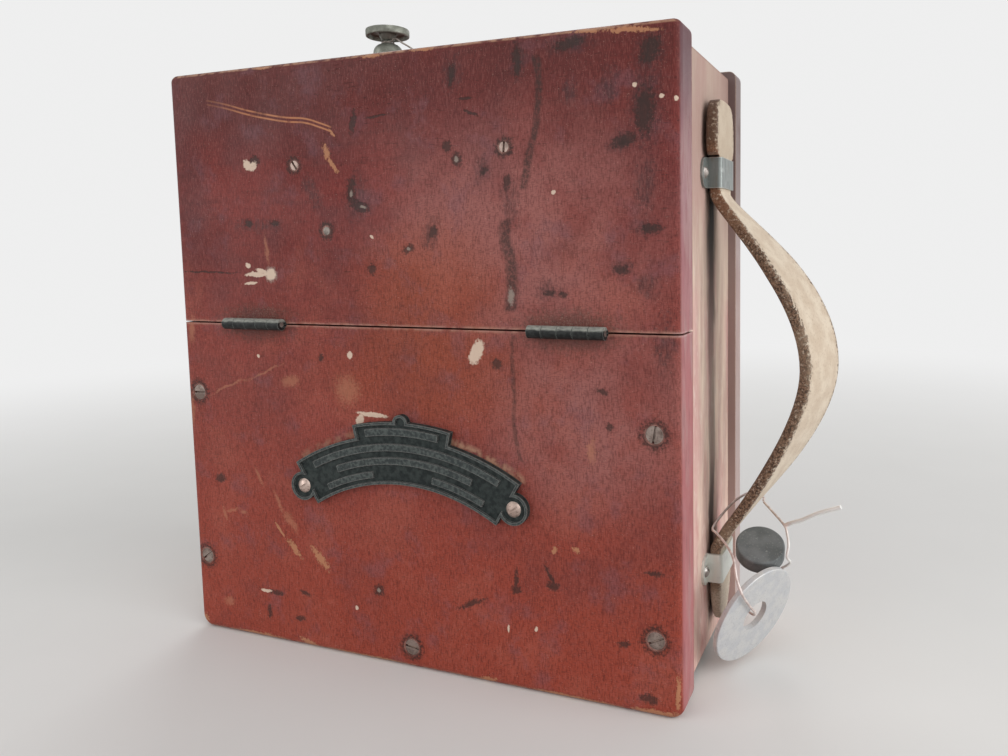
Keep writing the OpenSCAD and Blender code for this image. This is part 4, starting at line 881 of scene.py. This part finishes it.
def wound_wire():
    turns = Finish("enamelled_winding", Metallic=0.6, Roughness=0.4)
    lay = turns.add("TexWave", {0: turns.place, "Scale": 1.6, "Distortion": 0.4, "Detail": 1.0},
                    out=1, bands_direction="Y")
    turns.colour = turns.tint(lay, (0.16, 0.05, 0.022), (0.50, 0.20, 0.09))
    return turns.done(Normal=turns.bump(lay, 0.7, 0.0002))


SPECKS = {name: speckled(name, *look) for name, (*look, _) in SPECKLED.items()}
for name, (*_, node) in SPECKLED.items():
    dress(SPECKS[name], *node.split())
dress(dial_paint(), "dial_plate")
dress(window_glass(), "window_glass")
dress(wound_wire(), "coil_winding")
print("other finishes:", ", ".join(SPECKS))

# %% [markdown]
# Sweeping a section along a route
#
# A strap and a wire are both one section carried along a line. The curve tool can do it, but it
# gives no say in how the section turns. Here the section is a flat face. It is extruded step by
# step, and after each step the new end is moved to its next place, so that a strap can widen and
# turn, and a wire never twists.

# %% Sweep helpers
SHARP_FROM = math.radians(38)


def new_piece(name, bm, material, body, node):
    """Close, turn outwards, scale to metres and hand over a finished bmesh."""
    bmesh.ops.remove_doubles(bm, verts=bm.verts, dist=1e-4)
    bmesh.ops.recalc_face_normals(bm, faces=bm.faces)
    bmesh.ops.scale(bm, vec=(MM, MM, MM), verts=bm.verts)
    mesh = bpy.data.meshes.new(name)
    bm.to_mesh(mesh)
    bm.free()
    mesh.materials.append(material)
    mesh.shade_smooth()
    mesh.set_sharp_from_angle(angle=SHARP_FROM)
    piece = bpy.data.objects.new(name, mesh)
    bpy.context.collection.objects.link(piece)
    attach(piece, body)
    if node:
        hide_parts(node)
    print(name, "faces:", len(mesh.polygons))


def sweep(bm, face, places):
    """Extrude a face from place to place; the places are matrices."""
    bmesh.ops.transform(bm, matrix=places[0], verts=face.verts)
    for before, after in zip(places, places[1:]):
        step = bmesh.ops.extrude_face_region(bm, geom=[face])
        face = next(part for part in step["geom"] if isinstance(part, bmesh.types.BMFace))
        bmesh.ops.transform(bm, matrix=after @ before.inverted(), verts=face.verts)
    return face


def smooth_route(points, steps):
    """A route through all the points, with the given steps in each stretch."""
    points = [Vector(p) for p in points]
    last = len(points) - 1
    route = []
    for i in range(last):
        a, b, c, d = points[max(i - 1, 0)], points[i], points[i + 1], points[min(i + 2, last)]
        for k in range(steps):
            t = k / steps
            route.append(b + 0.5 * t * ((c - a) + t * ((2 * a - 5 * b + 4 * c - d)
                                                       + t * (3 * b - a - 3 * c + d))))
    return route + [points[last]]


def carried_places(route):
    """One matrix for each point of a route, turned from the one before without twist."""
    turn = None
    places = []
    for i, point in enumerate(route):
        ahead = (route[min(i + 1, len(route) - 1)] - route[max(i - 1, 0)]).normalized()
        if turn is None:
            turn = Vector((0, 0, 1)).rotation_difference(ahead)
        else:
            turn = (turn @ Vector((0, 0, 1))).rotation_difference(ahead) @ turn
        places.append(Matrix.Translation(point) @ turn.to_matrix().to_4x4())
    return places


def add_wire(bm, points, radius, steps, sides=14):
    ring = bmesh.ops.create_circle(bm, cap_ends=True, radius=radius, segments=sides)["verts"]
    sweep(bm, ring[0].link_faces[0], carried_places(smooth_route(points, steps)))


# %% [markdown]
# The strap
#
# The handle is one thick leather strap, 3.8 mm by 19 mm in the clips and wider at the top of its
# arch, where it also turns a little. Its outer face is pale and dry, its cut edges are dark brown
# and fuzzy. Each ring of the sweep keeps two values on its points, across and outward, and the
# finish reads them to know which part of the leather is edge and which is face.

# %% Route of the strap
STRAP_THICK, NECK_WIDE, ARCH_WIDE = 3.8, 19.0, 27.0
NECK_X, APEX_X = 99.8, 134.7
ARCH_LOW = [(NECK_X, 39.5), (NECK_X, 44.5), (APEX_X, 80.5), (APEX_X, 106.5)]
ARCH_HIGH = [(APEX_X, 106.5), (APEX_X, 136.5), (NECK_X, 161.5), (NECK_X, 167.5)]
CLIP_TOP = 179.4
STRAP_TURN = math.radians(17)
CORNER_ROUND, CROWN = 1.05, 0.3


def bezier(points, t):
    s = 1 - t
    return [s ** 3 * a + 3 * s * s * t * b + 3 * s * t * t * c + t ** 3 * d
            for a, b, c, d in zip(*points)]


def strap_stations():
    """Rows of x, z, width and thickness from the tail up to the tongue."""
    rows = []
    for i in range(9):
        t = i / 8
        wide = 4 + 15 * math.sin(math.pi / 2 * t ** 0.7)
        rows.append((NECK_X, 11 + 13.6 * t, wide, 2.6 + 1.2 * t))
    rows += [(NECK_X, z, NECK_WIDE, STRAP_THICK) for z in (27.4, 31, 35, 38)]
    for part in (ARCH_LOW, ARCH_HIGH):
        for i in range(24):
            x, z = bezier(part, i / 24)
            share = min(1, 1.6 * (x - NECK_X) / (APEX_X - NECK_X))
            rows.append((x, z, NECK_WIDE + (ARCH_WIDE - NECK_WIDE) * share, STRAP_THICK))
    rows += [(NECK_X, z, NECK_WIDE, STRAP_THICK) for z in (167.5, 171, 175, 179)]
    rows += [(NECK_X, CLIP_TOP + 0.6, 24, STRAP_THICK), (NECK_X, CLIP_TOP + 1.4, 28.4, STRAP_THICK)]
    for i in range(16):
        t = i / 15
        wide = 2.5 + 28.0 * math.sqrt(1 - t ** 2.4)
        rows.append((NECK_X, 184 + 15.4 * math.sin(math.pi / 2 * t), wide,
                     STRAP_THICK - 0.9 * t ** 4))
    return rows


def strap_places(rows):
    places = []
    for i, (x, z, wide, thick) in enumerate(rows):
        before, after = rows[max(i - 1, 0)], rows[min(i + 1, len(rows) - 1)]
        ahead = Vector((after[0] - before[0], 0, after[1] - before[1])).normalized()
        out = Vector((ahead.z, 0, -ahead.x))
        turn = STRAP_TURN * max(0, (x - NECK_X) / (APEX_X - NECK_X))
        across = Vector((0, math.cos(turn), 0)) + out * math.sin(turn)
        outward = out * math.cos(turn) - Vector((0, math.sin(turn), 0))
        place = Matrix((across, outward, ahead)).transposed().to_4x4()
        place.translation = (x, STRAP_MIDDLE, z)
        places.append(place @ Matrix.Diagonal((wide / ARCH_WIDE, thick / STRAP_THICK, 1, 1)))
    return places


# %% Leather
def strap_leather():
    hide = Finish("strap_leather", Roughness=0.72, Specular_IOR_Level=0.25, Sheen_Weight=0.12)
    across = hide.math("ABSOLUTE", hide.add("Attribute", {}, out=2, attribute_name="across"))
    outward = hide.add("Attribute", {}, out=2, attribute_name="outward")
    fray = hide.patches(0.9, 7, 151, 0.25, 0.75, -0.16, 0.16, rough=0.65)
    edge = hide.limits(hide.math("ADD", across, fray), 0.86, 0.96)
    inner = hide.limits(outward, -0.6, -0.9)
    cloud = hide.noise(0.14, 6, seed=154)
    face = hide.tint(hide.limits(cloud, 0.36, 0.64), (0.56, 0.45, 0.34), (0.66, 0.56, 0.44))
    face = hide.tint(hide.patches(1.1, 6, 157, 0.52, 0.7, 0, 0.4), face, (0.38, 0.27, 0.18))
    face = hide.tint(hide.limits(hide.z, 165, 180, 0, 0.45), face, (0.34, 0.26, 0.18))
    crumb = hide.noise(1.5, 8, seed=160, rough=0.72)
    dark = hide.tint(hide.limits(crumb, 0.42, 0.57), (0.055, 0.032, 0.021), (0.27, 0.165, 0.105))
    dark = hide.tint(hide.limits(crumb, 0.56, 0.68, 0, 0.6), dark, (0.46, 0.35, 0.25))
    dark = hide.tint(hide.limits(hide.z, 148, 162, 0, 0.5), dark, (0.24, 0.095, 0.042))
    faded = hide.times(hide.patches(0.09, 5, 166, 0.45, 0.62, 0, 0.55),
                       hide.limits(hide.z, 166, 148))
    dark = hide.tint(faded, dark, (0.33, 0.24, 0.165))
    dark = hide.tint(hide.limits(hide.z, 181, 186, 0, 0.6), dark, (0.070, 0.046, 0.032))
    hide.colour = hide.tint(hide.times(inner, 0.8), face, (0.2, 0.12, 0.075))
    hide.coat(edge, dark)
    # The tail below the lower clip is painted pale, its cut edges too: a painted highlight where
    # its side faces the light.
    tail = hide.limits(hide.z, 27, 21, 0, 0.8)
    hide.coat(tail, hide.tint(hide.limits(crumb, 0.35, 0.6), (0.44, 0.34, 0.25),
                              (0.66, 0.57, 0.46)))
    height = hide.math("ADD", hide.times(crumb, hide.limits(edge, 0, 1, 0.25, 1.0)),
                       hide.times(hide.noise(2.6, 4, seed=163), 0.15))
    return hide.done(Normal=hide.bump(height, 0.8, 0.0006))


def make_strap():
    bm = bmesh.new()
    across = bm.verts.layers.float.new("across")
    outward = bm.verts.layers.float.new("outward")
    ring = bmesh.ops.create_grid(bm, x_segments=6, y_segments=1, size=0.5)["verts"]
    bmesh.ops.scale(bm, vec=(ARCH_WIDE, STRAP_THICK, 1), verts=ring)
    bmesh.ops.dissolve_faces(bm, faces=bm.faces[:])
    corners = [v for v in bm.verts if abs(v.co.x) > ARCH_WIDE / 2 - 0.01]
    bmesh.ops.bevel(bm, geom=corners, offset=CORNER_ROUND, segments=4, profile=0.5,
                    affect="VERTICES", material=-1)
    for v in bm.verts:
        v.co.y += CROWN * (1 - (2 * v.co.x / ARCH_WIDE) ** 2) * (1 if v.co.y > 0 else 0)
        v[across] = 2 * v.co.x / ARCH_WIDE
        v[outward] = max(-1.0, min(1.0, 2 * v.co.y / STRAP_THICK))
    sweep(bm, bm.faces[:][0], strap_places(strap_stations()))
    new_piece("leather_strap", bm, strap_leather(), "case", "handle_strap")


make_strap()

# %% [markdown]
# Tie wire and other wires
#
# A thin wire is looped round the foot of the strap, through the loose washer and up past the
# rubber disc, and its thicker tail sticks up to the right, chalky white. A second wire end hangs
# at the left terminal, and two cotton-covered leads run inside from the shunt to the movement.

# %% Wires
WIRE_THICK, TAIL_THICK, END_THICK, RING_THICK = 0.44, 0.72, 0.35, 0.45
LOOP = [(17.5, 14.5, 54), (16.9, 18.5, 53.8), (11.9, 18.7, 55), (7.5, 12, 53.6), (4.1, 4, 50.4),
        (2.2, -3, 47.6), (4.2, -5.5, 46.7), (7.3, -9, 45.6), (10.7, -14, 44.2), (13.1, -19, 42.6),
        (14.7, -23, 38.6), (16.9, -24.4, 33.8), (18.1, -18.8, 28), (19.1, -12.8, 22.8),
        (17.9, -9.4, 20.4), (15.5, -7, 21.6), (19.5, -5.2, 26.9), (23.9, -0.1, 31.3),
        (24.7, 0.2, 33.3), (29.5, -1.9, 37.6), (28.7, -4, 40.5), (29.1, -3, 44.4), (28.4, -0.6, 47),
        (27, 2, 49.6), (21.9, 9, 51.7), (17.8, 14.6, 53.2)]
TAIL = [(27, 2, 49.6), (30, 1, 51.4), (33.4, 0, 53.1), (39.1, -2, 56.8), (46.5, -4, 60.3)]
POST_X, NECK_Z = -34.0, 231.9
END = [(POST_X + 2.1, -1, NECK_Z), (POST_X + 4.6, -1.6, 233.0), (POST_X + 7.5, -1.5, 231.1),
       (POST_X + 10, -1, 229.6), (POST_X + 14, 0, 226.9)]


def chalky_wire():
    skin = Finish("tie_wire_metal", Metallic=0.3, Roughness=0.45)
    rosy = skin.tint(skin.patches(0.5, 5, 171, 0.35, 0.65), (0.78, 0.68, 0.64), (0.56, 0.46, 0.43))
    tail = skin.limits(skin.x, 123.5, 127)
    white = skin.tint(skin.noise(0.6, 5, seed=174), (0.74, 0.73, 0.70), (0.84, 0.83, 0.81))
    return skin.done(Base_Color=skin.tint(tail, rosy, white),
                     Normal=skin.bump(skin.noise(1.8, 5, seed=176), 0.3, 0.0002))


def make_tie_wire():
    bm = bmesh.new()
    for points, radius in ((LOOP, WIRE_THICK), (TAIL, TAIL_THICK)):
        add_wire(bm, [(x + WALL_X, y, z) for x, y, z in points], radius, 6)
    new_piece("tied_wire", bm, chalky_wire(), "case", "tie_wire")


def make_terminal_wire():
    bm = bmesh.new()
    turn = [(POST_X + 2.2 * math.cos(math.radians(a)), 2.2 * math.sin(math.radians(a)), NECK_Z)
            for a in range(20, 336, 15)]
    add_wire(bm, turn, RING_THICK, 2)
    add_wire(bm, END, END_THICK, 6)
    new_piece("terminal_wire_end", bm, METAL["grey_wire"], "case", "terminal_wire")


make_tie_wire()
make_terminal_wire()

# %% Leads inside the case
LEAD_THICK = 0.9
ROOF_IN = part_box("top_wall")[0][2] / MM
LEADS = [
    [(POST_X + 3, 9.9, ROOF_IN - 7), (POST_X + 3, 17, ROOF_IN - 18), (-32, 20, 140), (-24, 18, 108),
     (-18, 15.9, 94)],
    [(31, 9.9, ROOF_IN - 7), (36, 17, ROOF_IN - 18), (54, 14, 132), (57, -6, 112), (52, -18, 98),
     (36, -23, 94), (25.9, -25, 92)],
]


def make_leads():
    bm = bmesh.new()
    for points in LEADS:
        add_wire(bm, points, LEAD_THICK, 8)
    new_piece("covered_leads", bm, cotton_sleeve(), "case", "coil_leads")


make_leads()

# %% [markdown]
# The thumb nut
#
# The nut on the left terminal is a turned cup: a thin disc with a rim that hangs down, hollow
# underneath, with a cone in the middle that carries the thread. A half profile is drawn once and
# spun round the stud.

# %% Thumb nut
NUT_PROFILE = [(0, 236.0), (1.65, 236.0), (1.65, 232.9), (2.4, 232.9), (3.3, 234.4), (3.5, 235.5),
               (7.3, 235.7), (7.55, 235.4), (7.6, 234.5), (7.8, 234.2), (8.3, 234.2),
               (8.5, 234.35), (8.6, 234.7), (8.6, 236.5), (8.45, 236.95), (8.0, 237.15),
               (7.5, 237.0), (7.0, 236.8), (4.0, 236.8), (3.6, 237.05), (3.2, 237.15), (0, 237.2)]


def make_nut():
    bm = bmesh.new()
    verts = [bm.verts.new((r, 0, z)) for r, z in NUT_PROFILE]
    edges = [bm.edges.new(pair) for pair in zip(verts, verts[1:])]
    bmesh.ops.spin(bm, geom=verts + edges, cent=(0, 0, 0), axis=(0, 0, 1), angle=2 * math.pi,
                   steps=72, use_merge=True)
    bmesh.ops.translate(bm, vec=(POST_X, 0, 0), verts=bm.verts)
    new_piece("thumb_nut_cup", bm, METAL["terminal_metal"], "thumb_nut", "thumb_nut")


make_nut()

# %% [markdown]
# The printed scale
#
# The scale is an arc with fifty divisions and plain numbers, printed in black. It could be painted
# in the dial's finish, but thin solid strokes stay sharp from any distance. They stand 0.03 mm
# proud of the plate, as thick print does.

# %% Scale of the dial
PIVOT_Z = 92
SWING = 42
PRINT_Y = -16.49
DIVISIONS = 50
ARC_RADIUS, NUMBERS_RADIUS = 85.6, 93.6
INK_THICK, NUMBER_HIGH = 0.08, 4.6


def at_angle(angle, radius):
    return (Matrix.Translation((0, PRINT_Y, PIVOT_Z)) @ Matrix.Rotation(math.radians(angle), 4, "Y")
            @ Matrix.Translation((0, 0, radius)))


def add_ticks(bm):
    for i in range(DIVISIONS + 1):
        long, middle = i % 10 == 0, i % 5 == 0
        height = 4.6 if long else 3.4 if middle else 2.4
        wide = 0.42 if long else 0.26
        place = at_angle(2 * SWING * i / DIVISIONS - SWING, ARC_RADIUS + height / 2)
        place = place @ Matrix.Diagonal((wide, INK_THICK, height, 1))
        bmesh.ops.create_cube(bm, size=1, matrix=place)


def add_arc(bm):
    bar = bmesh.ops.create_grid(bm, x_segments=1, y_segments=1, size=0.5)["verts"]
    start = Matrix.Rotation(math.radians(-SWING), 4, "Y")
    shape = start @ Matrix.Translation((0, 0, ARC_RADIUS)) @ Matrix.Rotation(math.pi / 2, 4, "Y")
    bmesh.ops.transform(bm, matrix=shape @ Matrix.Diagonal((0.3, INK_THICK, 1, 1)), verts=bar)
    face = bar[0].link_faces[0]
    bmesh.ops.spin(bm, geom=[face, *face.edges, *face.verts], cent=(0, 0, 0), axis=(0, 1, 0),
                   angle=math.radians(2 * SWING), steps=84)


def add_number(bm, text, angle):
    curve = bpy.data.curves.new("number", "FONT")
    curve.body, curve.size, curve.extrude = text, NUMBER_HIGH, INK_THICK / 2
    curve.align_x = curve.align_y = "CENTER"
    writing = bpy.data.objects.new("number", curve)
    bpy.context.collection.objects.link(writing)
    bpy.context.view_layer.update()
    depsgraph = bpy.context.evaluated_depsgraph_get()
    shape = bpy.data.meshes.new_from_object(writing.evaluated_get(depsgraph))
    before = len(bm.verts)
    bm.from_mesh(shape)
    bm.verts.ensure_lookup_table()
    place = at_angle(angle, NUMBERS_RADIUS) @ Matrix.Rotation(math.pi / 2, 4, "X")
    bmesh.ops.transform(bm, matrix=place, verts=bm.verts[before:])
    bpy.data.objects.remove(writing)
    bpy.data.meshes.remove(shape)


def make_scale():
    bm = bmesh.new()
    add_arc(bm)
    bmesh.ops.translate(bm, vec=(0, PRINT_Y, PIVOT_Z), verts=bm.verts)
    add_ticks(bm)
    for i in range(0, DIVISIONS + 1, 10):
        add_number(bm, str(i), 2 * SWING * i / DIVISIONS - SWING)
    new_piece("printed_scale", bm, SPECKS["scale_ink"], "case", None)


make_scale()

# %% [markdown]
# Last checks
#
# Every node must have its finish.

# %% Check the finishes
REPLACED = {"handle_strap", "tie_wire", "terminal_wire", "coil_leads", "thumb_nut"}
print("without a finish:", sorted(set(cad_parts) - set(DRESSED) - REPLACED))
